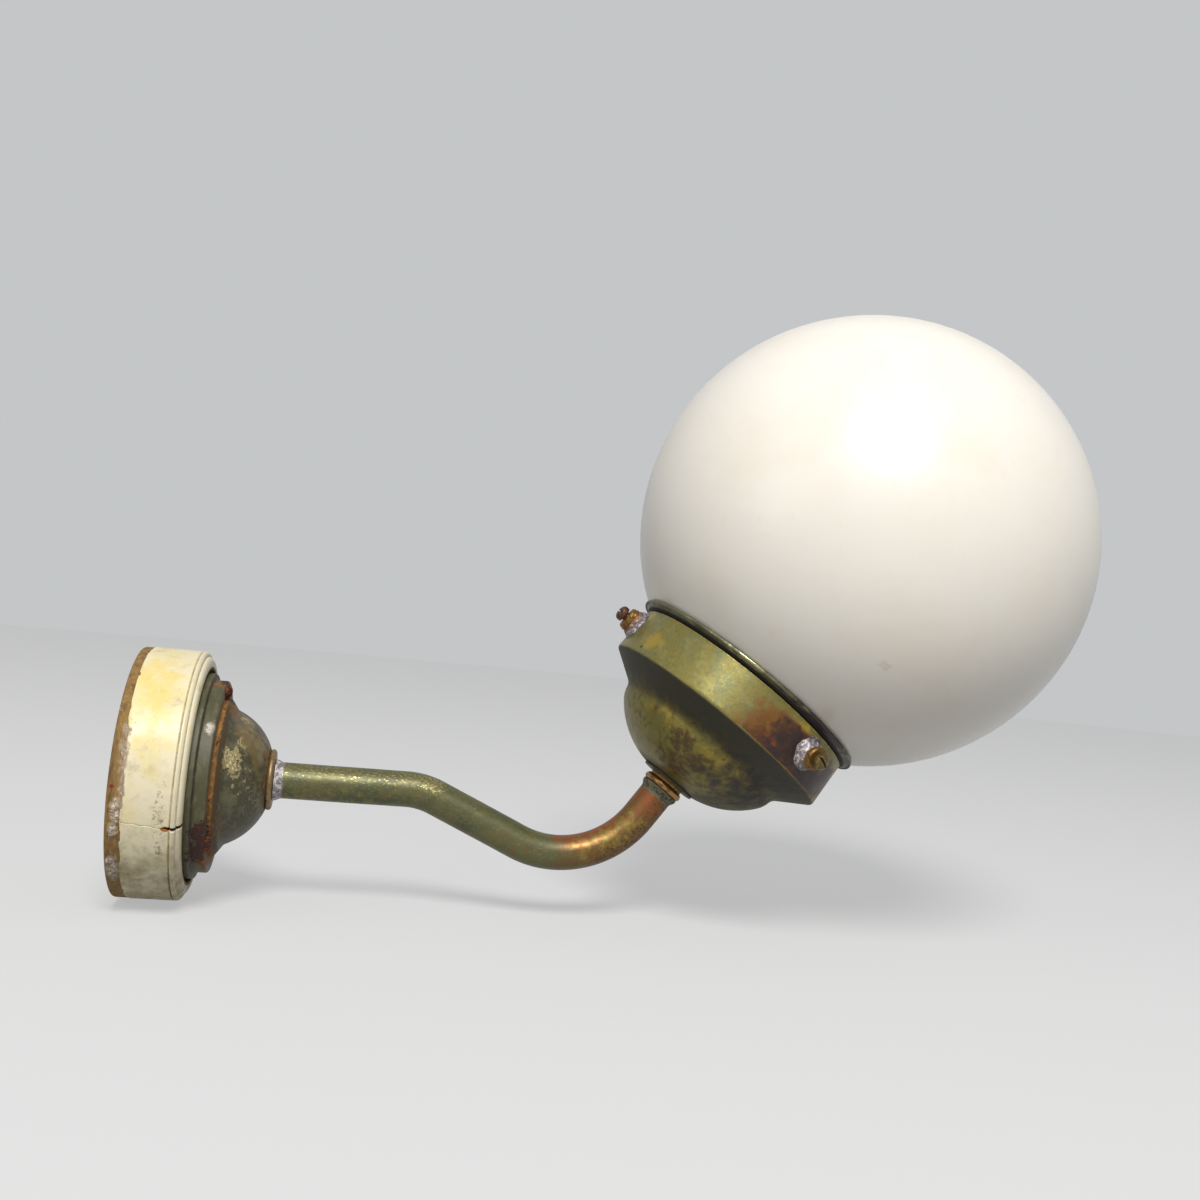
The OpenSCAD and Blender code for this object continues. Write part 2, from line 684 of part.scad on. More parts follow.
// One of the three screws that hold the globe's collar, with its tip just off the skirt
module gallery_screw(i) {
    color("peru") on_arm_end() rotate([0, 0, gallery_screw_turn + i * 120]) translate([0, 0, screw_z]) rotate([0, 90, 0]) {
        translate([0, 0, tip_r]) cylinder(d1 = gallery_screw_d - 1, d2 = gallery_screw_d, h = 0.5);
        translate([0, 0, tip_r + 0.5]) cylinder(d = gallery_screw_d, h = head_r_at - tip_r - 0.5);
        translate([0, 0, head_r_at]) difference() {
            union() {
                cylinder(d = gallery_head_d, h = gallery_head_h - 1);
                translate([0, 0, gallery_head_h - 1]) cylinder(d1 = gallery_head_d, d2 = gallery_head_d - 1.6, h = 1);
            }
            translate([-gallery_head_d, -slot_w / 2, gallery_head_h - slot_depth])
                cube([2 * gallery_head_d, slot_w, slot_depth + cut]);
        }
    }
}

module glass_collar() {
    bead_at = last(collar_path)[0] + (collar_wall - flare_bead_r) * left_of(last(collar_path)[1]);
    color("olive") on_arm_end() union() {
        turned_shell(collar_path, collar_wall);
        rotate_extrude() translate(bead_at) circle(r = flare_bead_r, $fn = 24);
    }
}

module neck_cement() {
    color("lightgray") on_arm_end(skirt_z + cement_end) difference() {
        cylinder(r = neck_r + thread_gap + cement_w, h = skirt_h - 2 * cement_end);
        translate([0, 0, -cut]) cylinder(r = neck_r + thread_gap, h = skirt_h + cut);
    }
}

module globe() {
    color("whitesmoke") on_arm_end() difference() {
        union() {
            translate([0, 0, globe_z]) sphere(r = globe_r, $fn = 128);
            translate([0, 0, neck_z]) cylinder(r = neck_r, h = globe_z - neck_z - globe_r / 2);
        }
        translate([0, 0, globe_z]) sphere(r = globe_r - glass_wall, $fn = 128);
        translate([0, 0, neck_bore_z]) cylinder(r = neck_inner_r, h = globe_z - globe_r / 2 - neck_bore_z);
    }
}

module holder_cap() {
    color("goldenrod") on_arm_end() union() {
        turned_shell(cap_path, holder_wall);
        translate([0, 0, holder_z]) disc(cap_neck_r - holder_wall / 2, hub_top - holder_z, nipple_hole_r);
    }
}

module holder_pole_places() {
    for (s = [-1, 1]) translate([0, s * pole_gap / 2, 0]) children();
}

module holder_body() {
    color("ivory") on_arm_end() difference() {
        translate([0, 0, body_z]) cylinder(r = body_r, h = holder_body_h);
        translate([0, 0, shell_z - 0.5]) cylinder(r = socket_r + socket_wall + fit_gap, h = holder_body_h);
        translate([0, 0, contact_z - 1]) cylinder(r = 6.5, h = 3);
        holder_pole_places() translate([-pole_w / 2, -pole_w / 2, body_z - cut]) cube([pole_w, pole_w, pole_depth + cut]);
    }
}

module holder_shell() {
    color("goldenrod") on_arm_end(shell_z) disc(socket_r + socket_wall, socket_h, socket_r);
}

module holder_terminals() {
    inner = pole_w - 2 * fit_gap;
    color("goldenrod") on_arm_end(body_z) holder_pole_places() difference() {
        translate([-inner / 2, -inner / 2, 0]) cube([inner, inner, pole_depth - fit_gap]);
        translate([0, 0, -cut]) cylinder(r = wire_r + fit_gap, h = 3 + cut);
    }
}

module centre_contact() {
    color("goldenrod") on_arm_end(contact_z - 1) {
        cylinder(r = 6.2, h = 1);
        translate([-2.5, -5, 1]) cube([5, 10, 1.2]);
    }
}

module lamp_cap() {
    r = lamp_cap_r;
    w = 0.4;
    color("silver") on_arm_end(lamp_cap_z) rotate_extrude() polygon([[5.5, 0], [10, 1.6], [r, 4], [r, 25],
        [r - w, 25], [r - w, 4 + w / 2], [10, 1.6 + w], [5.5, w]]);
}

module lamp_glass() {
    color("whitesmoke") on_arm_end() turned_shell(lamp_path, lamp_wall);
}

module lamp_insulator() {
    color("black") on_arm_end(lamp_tip_z + 0.8) difference() {
        cylinder(r1 = 4.2, r2 = 5.4, h = 2.4);
        translate([0, 0, -cut]) cylinder(r = 2.1, h = 2.4 + 2 * cut);
    }
}

module lamp_contact() {
    color("silver") on_arm_end(lamp_tip_z) {
        cylinder(r1 = 3, r2 = 4, h = 0.8);
        translate([0, 0, 0.8]) cylinder(r = 2, h = 2.6);
    }
}

wall_block();
rose_flange();
flange_screws();
rose_dome();
rose_collar();
arm_tube();
arm_back_washer();
arm_back_nut();
terminal_block();
terminal_inserts();
terminal_screws();
wire_live();
wire_neutral();
gallery_ring();
seat_washer();
gallery();
screw_bushes();
gallery_nipple();
gallery_locknut();
gallery_screw(0);  // gallery_screw_1
gallery_screw(1);  // gallery_screw_2
gallery_screw(2);  // gallery_screw_3
glass_collar();
neck_cement();
globe();
holder_cap();
holder_body();
holder_shell();
holder_terminals();
centre_contact();
lamp_cap();
lamp_glass();
lamp_insulator();
lamp_contact();
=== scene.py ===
"""An old wall lamp: painted block, stepped rose, S-shaped brass arm, spun gallery, opal globe.

Lengths are in millimetres until a mesh is made, apart from the camera's and the stage's, which
are in metres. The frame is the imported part's own: the wall is the plane X = 0, +X points out of
the wall and +Z is up.
"""
import math

import bpy
import numpy as np
from mathutils import Matrix, Vector


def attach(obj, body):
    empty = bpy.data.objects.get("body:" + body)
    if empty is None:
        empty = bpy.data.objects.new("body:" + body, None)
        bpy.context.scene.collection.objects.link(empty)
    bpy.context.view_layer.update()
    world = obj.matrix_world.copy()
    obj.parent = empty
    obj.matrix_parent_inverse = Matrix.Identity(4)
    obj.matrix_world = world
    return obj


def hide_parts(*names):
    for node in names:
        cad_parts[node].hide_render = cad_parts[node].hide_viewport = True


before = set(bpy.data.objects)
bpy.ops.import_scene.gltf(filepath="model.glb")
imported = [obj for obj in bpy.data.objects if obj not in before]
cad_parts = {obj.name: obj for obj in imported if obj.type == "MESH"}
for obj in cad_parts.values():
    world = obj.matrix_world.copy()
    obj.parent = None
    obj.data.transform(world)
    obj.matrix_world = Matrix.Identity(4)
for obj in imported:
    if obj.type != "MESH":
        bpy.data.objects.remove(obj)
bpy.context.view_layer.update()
MM = 0.001


# ---- Camera -------------------------------------------------------------------------------

CAMERA_AT = (0.08717, -0.52612, 0.06807)
CAMERA_RIGHT = (0.97848, -0.18402, 0.09332)
CAMERA_UP = (-0.09819, -0.01752, 0.99501)
CAMERA_BACK = (-0.18147, -0.98277, -0.03522)


def make_camera():
    lens = bpy.data.cameras.new("camera")
    lens.sensor_fit = "HORIZONTAL"
    lens.sensor_width = 36.0
    lens.lens = 37.152
    lens.clip_start, lens.clip_end = 0.01, 50.0
    camera = bpy.data.objects.new("camera", lens)
    turn = Matrix([list(row) for row in zip(CAMERA_RIGHT, CAMERA_UP, CAMERA_BACK)])
    camera.matrix_world = Matrix.Translation(CAMERA_AT) @ turn.to_4x4()
    bpy.context.scene.collection.objects.link(camera)
    bpy.context.scene.camera = camera


# ---- Nodes and materials ------------------------------------------------------------------

def linear(colour):
    """A linear RGBA colour from an sRGB hex value such as "#c8b060"."""
    parts = [int(colour[i:i + 2], 16) / 255 for i in (1, 3, 5)]
    return [p / 12.92 if p <= 0.04045 else ((p + 0.055) / 1.055) ** 2.4 for p in parts] + [1.0]


def add(tree, kind, inputs=None, **settings):
    """Adds a node. An input takes a value or another node's output socket."""
    node = tree.nodes.new(kind)
    for name, value in settings.items():
        setattr(node, name, value)
    for name, value in (inputs or {}).items():
        if isinstance(value, bpy.types.NodeSocket):
            tree.links.new(value, node.inputs[name])
        else:
            node.inputs[name].default_value = value
    return node


def maths(tree, operation, *values):
    """The result of a math node."""
    inputs = dict(enumerate(values))
    return add(tree, "ShaderNodeMath", inputs, operation=operation).outputs[0]


def pattern(tree, at, size, span, where=None, rag=0.5, full=1.0, stretch=None):
    """A mask from noise whose patches are about size millimetres across, and as dense as full.

    Where a piece's attribute is named, the mask follows it, and the noise makes its edge ragged:
    rag is how far the noise moves it. span gives the scores at which the mask starts and is full.
    """
    if stretch:
        at = add(tree, "ShaderNodeMapping", {"Vector": at, "Scale": stretch}).outputs[0]
    score = add(tree, "ShaderNodeTexNoise", {
        "Vector": at, "Scale": 1.0 / (size * MM), "Detail": 5.0, "Roughness": 0.62,
        "Distortion": 0.25}).outputs["Fac"]
    if where:
        # Noise seldom strays by more than a quarter from a half
        ragged = maths(tree, "MULTIPLY_ADD", score, 4 * rag, -2 * rag)
        mask = add(tree, "ShaderNodeAttribute", attribute_name=where).outputs["Fac"]
        score = maths(tree, "ADD", ragged, mask)
    return add(tree, "ShaderNodeMapRange",
               {"Value": score, "From Min": span[0], "From Max": span[1], "To Max": full},
               interpolation_type="SMOOTHSTEP").outputs[0]


def mixed(tree, mask, under, over, colour=False):
    """Under and over mixed by a mask, as colours or as numbers."""
    if colour:
        return add(tree, "ShaderNodeMix", {0: mask, 6: under, 7: over}, data_type="RGBA").outputs[2]
    return add(tree, "ShaderNodeMix", {0: mask, 2: under, 3: over}, data_type="FLOAT").outputs[0]


def surface(name, base, layers=(), relief=(), **fixed):
    """A material of a base and layers over it, of which the first lies lowest.

    base is (colour, roughness, metallic). A layer is (colour, roughness, metallic, thickness),
    with None for what it leaves as it is, and then pattern's size, span, where, rag, full and
    stretch, of which the last may be left out. relief is a list of (size, depth). Further values
    go straight on the shader's sockets.
    """
    made = bpy.data.materials.new(name)
    made.use_nodes = True
    tree = made.node_tree
    shader = tree.nodes["Principled BSDF"]
    for socket, value in fixed.items():
        shader.inputs[socket.replace("_", " ")].default_value = value
    at = add(tree, "ShaderNodeTexCoord").outputs["Object"]
    colour, roughness, metallic = linear(base[0]), base[1], base[2]
    height = None
    for over, new_rough, new_metal, thickness, *settings in layers:
        mask = pattern(tree, at, *settings)
        colour = mixed(tree, mask, colour, linear(over), colour=True)
        if new_rough is not None:
            roughness = mixed(tree, mask, roughness, new_rough)
        if new_metal is not None:
            metallic = mixed(tree, mask, metallic, new_metal)
        if thickness:
            thick = maths(tree, "MULTIPLY", mask, thickness * MM)
            height = thick if height is None else maths(tree, "ADD", height, thick)
    for size, depth in relief:
        noise = add(tree, "ShaderNodeTexNoise",
                    {"Vector": at, "Scale": 1.0 / (size * MM), "Detail": 3.0}).outputs["Fac"]
        under = 0.0 if height is None else height
        height = maths(tree, "MULTIPLY_ADD", noise, depth * MM, under)
    for socket, value in (("Base Color", colour), ("Roughness", roughness), ("Metallic", metallic)):
        if isinstance(value, bpy.types.NodeSocket):
            tree.links.new(value, shader.inputs[socket])
        else:
            shader.inputs[socket].default_value = value
    if height is not None:
        bump = add(tree, "ShaderNodeBump", {"Height": height, "Strength": 1.0, "Distance": 1.0})
        tree.links.new(bump.outputs[0], shader.inputs["Normal"])
    return made


# Old gloss oil paint on turned beech: ivory where clean, yellowed in patches, painted shade below
PAINTED_BLOCK = surface("old_cream_gloss_paint", ("#e9dfc0", 0.42, 0.0), [
    ("#ead68c", 0.4, None, 0, 8, (0.1, 1.35), "yellowed", 0.5),
    ("#e4cc6c", 0.42, None, 0, 6, (0.75, 1.5), "yellowed", 0.45, 0.7),
    ("#ddd0a4", None, None, 0, 9, (0.5, 0.74), None, 0.5, 0.55),
    ("#cdb980", None, None, 0, 2.2, (0.56, 0.74), None, 0.5, 0.35),
    ("#f1e8cc", None, None, 0, 1.5, (0.57, 0.7), None, 0.5, 0.5),
    # Painted shade: darker towards the bottom
    ("#a7986d", 0.55, None, 0, 6, (0.3, 1.45), "dirty", 0.55),
    ("#8d7d58", 0.6, None, 0, 0.9, (0.66, 0.75), None, 0.5, 0.7),
    ("#776a4e", 0.65, None, -0.03, 1.3, (0.75, 1.3), "scuffed", 0.8, 0.7),
    # Painted shade in the two grooves
    ("#4f432d", 0.75, None, 0, 2.0, (0.25, 1.3), "grime", 0.2),
    ("#8a6c3a", 0.8, None, -0.15, 2.0, (0.44, 0.56), "bare", 0.12),
    ("#654a28", 0.85, None, -0.03, 2.6, (0.85, 1.5), "bare", 0.7, 1, (1, 1, 0.1)),
    ("#a98a57", 0.75, None, 0.02, 1.6, (1.05, 1.5), "bare", 0.7, 0.7, (1, 1, 0.08)),
    # Soot on the back; inside the chamber, recess and screw holes this is a painted shade
    ("#43331d", 0.85, None, 0, 9, (0.2, 1.5), "sooty", 0.7),
    ("#a8937a", 0.9, None, 0.06, 1.6, (0.25, 0.75), "plaster", 0.5, 1, (1.4, 1, 0.5)),
    ("#d3c8ba", 0.9, None, 0.12, 1.1, (0.85, 1.1), "plaster", 0.8, 1, (1.2, 1, 0.7)),
    ("#7a1d12", 0.6, None, 0, 1.5, (0.45, 0.55), "red_chip", 0.1),
    ("#a8611f", 0.7, None, 0, 1.5, (0.4, 0.6), "orange", 0.2),
    ("#241b10", 0.9, None, 0, 0.8, (0.15, 0.95), "crack", 0.08)], [(6.0, 0.1), (0.7, 0.035)])
# Olive-drab oil paint on a turned metal ring, dulled, with rust that blooms through it
FLANGE_PAINT = surface("olive_oil_paint_on_steel", ("#4b492f", 0.52, 0.0), [
    ("#645d40", 0.58, None, 0, 6, (0.45, 0.68), None, 0.5, 1, (3, 1, 1)),
    # Painted shade at the step and where the ring sits in the block's recess
    ("#2f2c20", 0.6, None, 0, 3.0, (0.3, 1.2), "grime", 0.4),
    ("#7d5427", 0.8, None, 0.08, 2.2, (0.5, 0.8), "rust", 0.7),
    ("#a87436", 0.85, None, 0.04, 1.2, (1.05, 1.35), "rust", 0.8),
    ("#37170e", 0.7, None, 0.2, 2.0, (0.45, 0.62), "blister", 0.6),
    ("#6d3617", 0.8, None, 0.05, 1.3, (1.1, 1.45), "blister", 0.8, 0.8),
    ("#8a8272", 0.6, None, 0.04, 1.8, (0.3, 0.5), "splash", 0.5),
    ("#c9bfb2", 0.55, None, 0.1, 1.5, (0.7, 0.9), "splash", 0.6)], [(1.2, 0.05)])
# Steel wood screws rusted to dark brown, orange at the edges
RUSTY_STEEL = surface("rusted_steel", ("#3b1c12", 0.8, 0.25), [
    ("#7b4015", 0.88, 0.0, 0.06, 1.6, (0.46, 0.6)),
    ("#a05c20", 0.9, 0.0, 0.05, 1.1, (0.58, 0.7), None, 0.5, 0.7)], [(0.8, 0.12)])
# Spun brass under worn grey-green paint: bare bronze patches, cream flakes, a rusty rim
ROSE_METAL = surface("worn_paint_on_spun_brass", ("#45422e", 0.46, 0.15), [
    ("#5b5942", 0.5, 0.1, 0, 4, (0.46, 0.62)),
    ("#2b291c", 0.62, 0.0, 0, 2.2, (0.58, 0.68)),
    ("#7c775a", 0.45, 0.1, 0.02, 0.9, (0.63, 0.7)),
    ("#5e5248", 0.5, 0.1, 0, 4, (0.4, 0.8), "umber", 0.5),
    ("#7d6e4a", 0.36, 0.5, -0.02, 4, (0.3, 1.05), "bronze", 0.45),
    # A painted highlight on the bronze patches
    ("#9b8a62", 0.32, 0.6, 0, 3, (0.85, 1.55), "bronze", 0.7, 0.8),
    ("#93855c", 0.5, 0.0, 0.06, 2.4, (0.65, 0.78), "cream", 0.7),
    ("#cbbf95", 0.45, 0.0, 0.05, 1.1, (1.05, 1.18), "cream", 0.9),
    ("#4a3a22", 0.75, 0.0, 0.06, 2.4, (0.4, 0.85), "foot", 0.45),
    ("#7a562a", 0.8, 0.0, 0.1, 2.4, (0.4, 0.75), "rust", 0.55),
    ("#a57535", 0.85, 0.0, 0.04, 2.6, (0.8, 1.4), "rust", 0.7, 1, (1.8, 1, 1)),
    ("#43240f", 0.85, 0.0, 0.08, 1.8, (1.15, 1.45), "rust", 0.9),
    ("#9a8c68", 0.35, 0.5, -0.02, 0.6, (1.35, 1.5), "scratched", 1.0, 1, (0.3, 1, 2.5))],
    [(2.5, 0.1), (0.7, 0.03)])
# Turned brass, dull and tan, darker where hands don't reach
COLLAR_BRASS = surface("dull_turned_brass", ("#8a7450", 0.42, 0.55), [
    ("#6b4a24", 0.6, 0.2, 0, 3.0, (0.48, 0.62)),
    ("#c2b08a", 0.3, 0.8, 0, 2.0, (0.6, 0.7))], [(1.0, 0.04)])
# Drawn brass tube: green patina with bright specks near the wall, copper-brown near the globe
ARM_BRASS = surface("patinated_brass_tube", ("#62613f", 0.42, 0.4), [
    ("#424a31", 0.5, 0.2, 0, 9, (0.42, 0.68), None, 0.5, 0.8, (0.6, 1, 1)),
    ("#706539", 0.42, 0.4, 0, 5.0, (0.48, 0.68), None, 0.5, 0.6, (0.6, 1, 1)),
    ("#8b875b", 0.38, 0.5, 0, 0.7, (0.52, 0.72), None, 0.5, 0.55, (0.6, 1, 1)),
    ("#383a22", 0.58, 0.1, 0, 0.9, (0.55, 0.74), None, 0.5, 0.6, (0.7, 1, 1)),
    ("#6f5029", 0.4, 0.5, 0, 9, (0.25, 0.95), "copper", 0.4),
    ("#8c4c24", 0.38, 0.5, 0, 4, (0.2, 1.1), "orange", 0.6, 0.85),
    # Along the top of the copper end a painted highlight; low near the wall, yellow patches
    ("#94823c", 0.38, 0.55, 0, 3.0, (0.55, 1.4), "yellow", 0.75, 0.7),
    ("#432f1b", 0.55, 0.2, 0, 1.1, (0.85, 1.4), "freckled", 0.9, 0.85),
    # Bright specks along the top: worn brass, with a painted highlight
    ("#aea269", 0.3, 0.75, -0.02, 0.6, (0.9, 1.3), "rubbed", 0.75, 0.85, (0.5, 1, 1)),
    ("#8b8583", 0.42, 0.5, 0.05, 1.6, (0.45, 0.65), "solder", 0.35),
    ("#cdc7c8", 0.5, 0.2, 0.03, 2.4, (0.95, 1.15), "solder", 0.6),
    ("#5a5550", 0.65, 0.2, -0.03, 1.6, (1.2, 1.45), "solder", 0.8),
    ("#6b6650", 0.6, 0.25, 0, 1.8, (0.25, 0.85), "dull", 0.6),
    ("#38342a", 0.75, 0.1, -0.04, 1.2, (0.95, 1.25), "dull", 0.8)], [(2.4, 0.06), (0.6, 0.025)])
# Turned brass kept bright by handling
RING_BRASS = surface("bright_worn_brass", ("#a37c4a", 0.32, 0.8), [
    ("#6b421f", 0.5, 0.5, 0, 3.0, (0.46, 0.64))], [(1.2, 0.03)])
# Flat brass washer under olive patina
WASHER_BRASS = surface("olive_patina_on_brass", ("#433c20", 0.52, 0.3), [
    ("#35311c", 0.6, 0.1, 0, 4.0, (0.46, 0.62))], [(1.2, 0.04)])
# Spun sheet brass: olive-gold patina with golden wear, and brown and purple stains from heat
# The purple is partly a painted shade; painted shade, a painted glint and painted highlights lie
# over all
GALLERY_BRASS = surface("patinated_spun_brass", ("#80773e", 0.38, 0.5), [
    ("#70734b", 0.42, 0.4, 0, 10, (0.42, 0.66)),
    ("#938b50", 0.36, 0.5, 0, 5, (0.5, 0.7)),
    ("#66653a", 0.42, 0.4, 0, 2.4, (0.47, 0.66), None, 0.5, 0.45),
    ("#a49b60", 0.32, 0.6, 0, 1.0, (0.56, 0.7), None, 0.5, 0.45),
    ("#4f4322", 0.52, 0.25, 0, 1.6, (0.65, 0.74)),
    ("#716624", 0.38, 0.5, 0, 6, (0.1, 1.2), "olive", 0.5, 0.8),
    # Golden wear; its spot at 187 degrees on the band's top edge is a painted glint
    ("#b3983a", 0.32, 0.62, 0, 3.5, (0.2, 1.6), "golden", 0.45),
    ("#4d391a", 0.42, 0.4, 0, 3.0, (0.3, 1.05), "brown", 0.7, 0.9),
    ("#7f5022", 0.38, 0.5, 0, 6, (0.08, 0.52), "stained", 0.22, 0.85),
    ("#4c2c18", 0.42, 0.4, 0, 5, (0.38, 0.85), "stained", 0.3, 0.85),
    ("#8a4a22", 0.38, 0.5, 0, 3, (0.55, 1.3), "orange", 0.6, 0.7),
    ("#2c2122", 0.46, 0.3, 0, 4, (0.58, 1.1), "stained", 0.45, 0.92),
    # Purple stain, and partly a painted shade on the right of the band and the dome
    ("#302526", 0.44, 0.35, 0, 5, (0.15, 1.05), "purple", 0.5, 0.95),
    ("#3a2a18", 0.55, 0.2, 0, 1.8, (0.95, 1.5), "brown", 0.8, 0.7),
    # Painted shade
    ("#17130a", 0.72, 0.05, 0, 5, (0.05, 1.1), "shade", 0.18, 0.92),
    # Painted highlight along the band's rim and its crease
    ("#b59c45", 0.28, 0.8, 0, 2.0, (0.55, 1.0), "edge", 0.5, 0.8),
    ("#1a160c", 0.8, 0.0, -0.1, 0.8, (0.45, 0.6), "pit", 0.1)], [(5.0, 0.08), (1.0, 0.02)])
# Plumber's solder, lumpy and grey, with white bloom
BUSH_SOLDER = surface("lumpy_soft_solder", ("#7c7478", 0.42, 0.5), [
    ("#d8d2cd", 0.5, 0.1, 0.03, 1.5, (0.5, 0.64), None, 0.5, 0.9),
    ("#55494c", 0.6, 0.2, 0, 1.3, (0.54, 0.66)),
    ("#74491f", 0.55, 0.3, 0, 1.6, (0.45, 1.1), "browned", 0.6),
    ("#7d5923", 0.45, 0.55, 0, 1.8, (0.4, 0.6), "ring", 0.3),
    ("#472f18", 0.6, 0.3, 0, 1.2, (1.0, 1.35), "ring", 0.7)], [(1.4, 0.12)])
# Brass screws gone brown, worn to gold on the crown
SCREW_BRASS = surface("browned_brass_screw", ("#665530", 0.42, 0.6), [
    ("#8f7c45", 0.34, 0.8, 0, 1.8, (0.5, 0.66)),
    ("#2a1d12", 0.7, 0.2, 0, 1.2, (0.6, 0.7)),
    ("#583722", 0.46, 0.5, 0, 1.6, (0.3, 0.8), "coppery", 0.5),
    ("#17110a", 0.85, 0.0, 0, 1.0, (0.1, 0.5), "deep", 0.05)], [(0.8, 0.04)])
# Thin spun ring around the glass: grey-green patina, brown on the right, worn bright on its bead
# The bead's brightness is partly a painted highlight
GLASS_RING_BRASS = surface("grey_green_patina_on_brass", ("#67664b", 0.42, 0.45), [
    ("#515038", 0.5, 0.25, 0, 6, (0.46, 0.62)),
    ("#3b2d2f", 0.44, 0.4, 0, 6, (0.35, 0.9), "brown", 0.45),
    # Worn brass, and a painted highlight on the side towards the light
    ("#9c9a78", 0.28, 0.75, 0, 4, (0.45, 0.95), "bright", 0.5),
    # Painted shadow of the gallery's band on the flare's inner half
    ("#14110c", 0.8, 0.0, 0, 3, (0.2, 0.9), "shade", 0.1)], [(1.4, 0.03)])
# Satin opal glass, warm white, with a faint warm mottle inside it
OPAL_GLASS = surface("satin_opal_glass", ("#faf2e6", 0.3, 0.0), [
    ("#f7ecdd", None, None, 0, 45, (0.45, 0.75)),
    ("#f4e8d4", None, None, 0, 14, (0.6, 0.8)),
    ("#cfc7b4", 0.5, None, 0, 0.9, (0.6, 1.1), "mark", 0.5, 0.4)],
    [(30.0, 0.1)], Subsurface_Weight=0.4, Subsurface_Scale=0.006,
    Subsurface_Radius=(1.0, 0.93, 0.82), Coat_Weight=0.25, Coat_Roughness=0.25, IOR=1.5)
# Plaster of Paris in the collar
CEMENT = surface("plaster_cement", ("#bdb5a2", 0.9, 0.0), [
    ("#9d9480", None, None, 0, 4, (0.45, 0.65))], [(1.0, 0.1)])
# Turned brass inside the lamp, dull but clean
INNER_BRASS = surface("dull_inner_brass", ("#b0924f", 0.36, 0.85), [
    ("#7d6433", 0.5, 0.7, 0, 5, (0.5, 0.66))], [(1.0, 0.02)])
# Glazed electrical porcelain, dusty
PORCELAIN = surface("glazed_porcelain", ("#e6e1d3", 0.22, 0.0), [
    ("#cfc6b0", 0.4, None, 0, 8, (0.5, 0.75))], [(3.0, 0.02)], Coat_Weight=0.4, Coat_Roughness=0.1)
# Plated steel screws
PLATED_STEEL = surface("plated_steel", ("#a3a29c", 0.35, 0.85), [
    ("#77736a", 0.5, 0.6, 0, 1.5, (0.5, 0.62))], [(0.7, 0.02)])
# Cotton braid over rubber: threads about 0.5 mm apart
WIRE_RED = surface("red_cotton_braid", ("#7c2a20", 0.85, 0.0), [
    ("#4f1813", None, None, 0.05, 0.5, (0.45, 0.55))], [(0.5, 0.06)])
WIRE_BLACK = surface("black_cotton_braid", ("#23211f", 0.85, 0.0), [
    ("#383532", None, None, 0.05, 0.5, (0.45, 0.55))], [(0.5, 0.06)])
# Clear blown soda-lime glass
CLEAR_GLASS = surface("clear_blown_glass", ("#ffffff", 0.03, 0.0), [], [(12.0, 0.03)],
                      Transmission_Weight=1.0, IOR=1.5)
# Drawn tungsten, dark grey
TUNGSTEN = surface("tungsten_wire", ("#5a5957", 0.35, 0.9), [
    ("#3f3e3d", 0.5, 0.8, 0, 0.6, (0.45, 0.6))])
# Pressed aluminium cap
LAMP_ALUMINIUM = surface("pressed_aluminium", ("#c2c2c0", 0.34, 0.9), [
    ("#96948e", 0.48, 0.8, 0, 3, (0.5, 0.64))], [(0.8, 0.02)])
# Black vitrite, the glass that insulates a lamp cap
BLACK_GLASS = surface("black_vitrite", ("#141414", 0.2, 0.0), [
    ("#26241f", 0.45, None, 0, 2, (0.52, 0.64))], [(1.0, 0.02)])
# Soft solder at the tip of the lamp
LAMP_SOLDER = surface("lamp_tip_solder", ("#9a9a98", 0.42, 0.8), [
    ("#6f6e6b", 0.55, 0.6, 0, 1.2, (0.5, 0.62))], [(0.8, 0.05)])


# ---- Meshes -------------------------------------------------------------------------------

class Place:
    """Where a turned piece stands: its origin, its axis, and where its angles start."""

    def __init__(self, origin, axis, start):
        self.origin, self.axis, self.start = (np.array(v, float) for v in (origin, axis, start))
        self.side = np.cross(self.axis, self.start)

    def points(self, along, radius, angle):
        out = np.cos(angle)[:, None] * self.start + np.sin(angle)[:, None] * self.side
        return self.origin + along[:, None] * self.axis + radius[:, None] * out

    def moved(self, along):
        return Place(self.origin + along * self.axis, self.axis, self.start)


ARM_SLOPE = math.radians(54.7)
UP_CUP = np.array([math.cos(ARM_SLOPE), 0.0, math.sin(ARM_SLOPE)])
DOWN_CUP = np.array([math.sin(ARM_SLOPE), 0.0, -math.cos(ARM_SLOPE)])
ARM_END = np.array([218.1738, 0.0, 6.9003])
# Angles on the wall pieces run from straight up towards the viewer, and those on the cup from
# its lower right, behind the lamp first, so that 270 degrees faces the viewer
WALL = Place((0, 0, 0), (1, 0, 0), (0, 0, 1))
CUP = Place(ARM_END, UP_CUP, DOWN_CUP)
AXIS_Z = Place((0, 0, 0), (0, 0, 1), (1, 0, 0))
AXIS_X = Place((0, 0, 0), (1, 0, 0), (0, 0, -1))

# An outline that starts and ends within POLE of the axis gets a pole at both ends, and those
# that reach the axis stop at TIP
POLE = 0.1
TIP = 0.001
HASH_PRIMES = np.array([73856093, 19349663, 83492791])


def grains(points, size, seed=0):
    """Smooth noise from -1 to 1 at points in millimetres, with grains of that size."""
    scaled = points / size + 17.31 * seed
    cell = np.floor(scaled).astype(np.int64)
    part = scaled - cell
    part = part * part * (3 - 2 * part)
    total = np.zeros(len(points))
    for corner in np.ndindex(2, 2, 2):
        c = (cell + corner) * HASH_PRIMES
        h = c[:, 0] ^ c[:, 1] ^ c[:, 2]
        h = (h ^ (h >> 13)) * 1274126177 & 0x7fffffff
        value = (h ^ (h >> 16)) % 65536 / 32767.5 - 1
        total += value * np.prod(np.where(corner, part, 1 - part), axis=1)
    return total


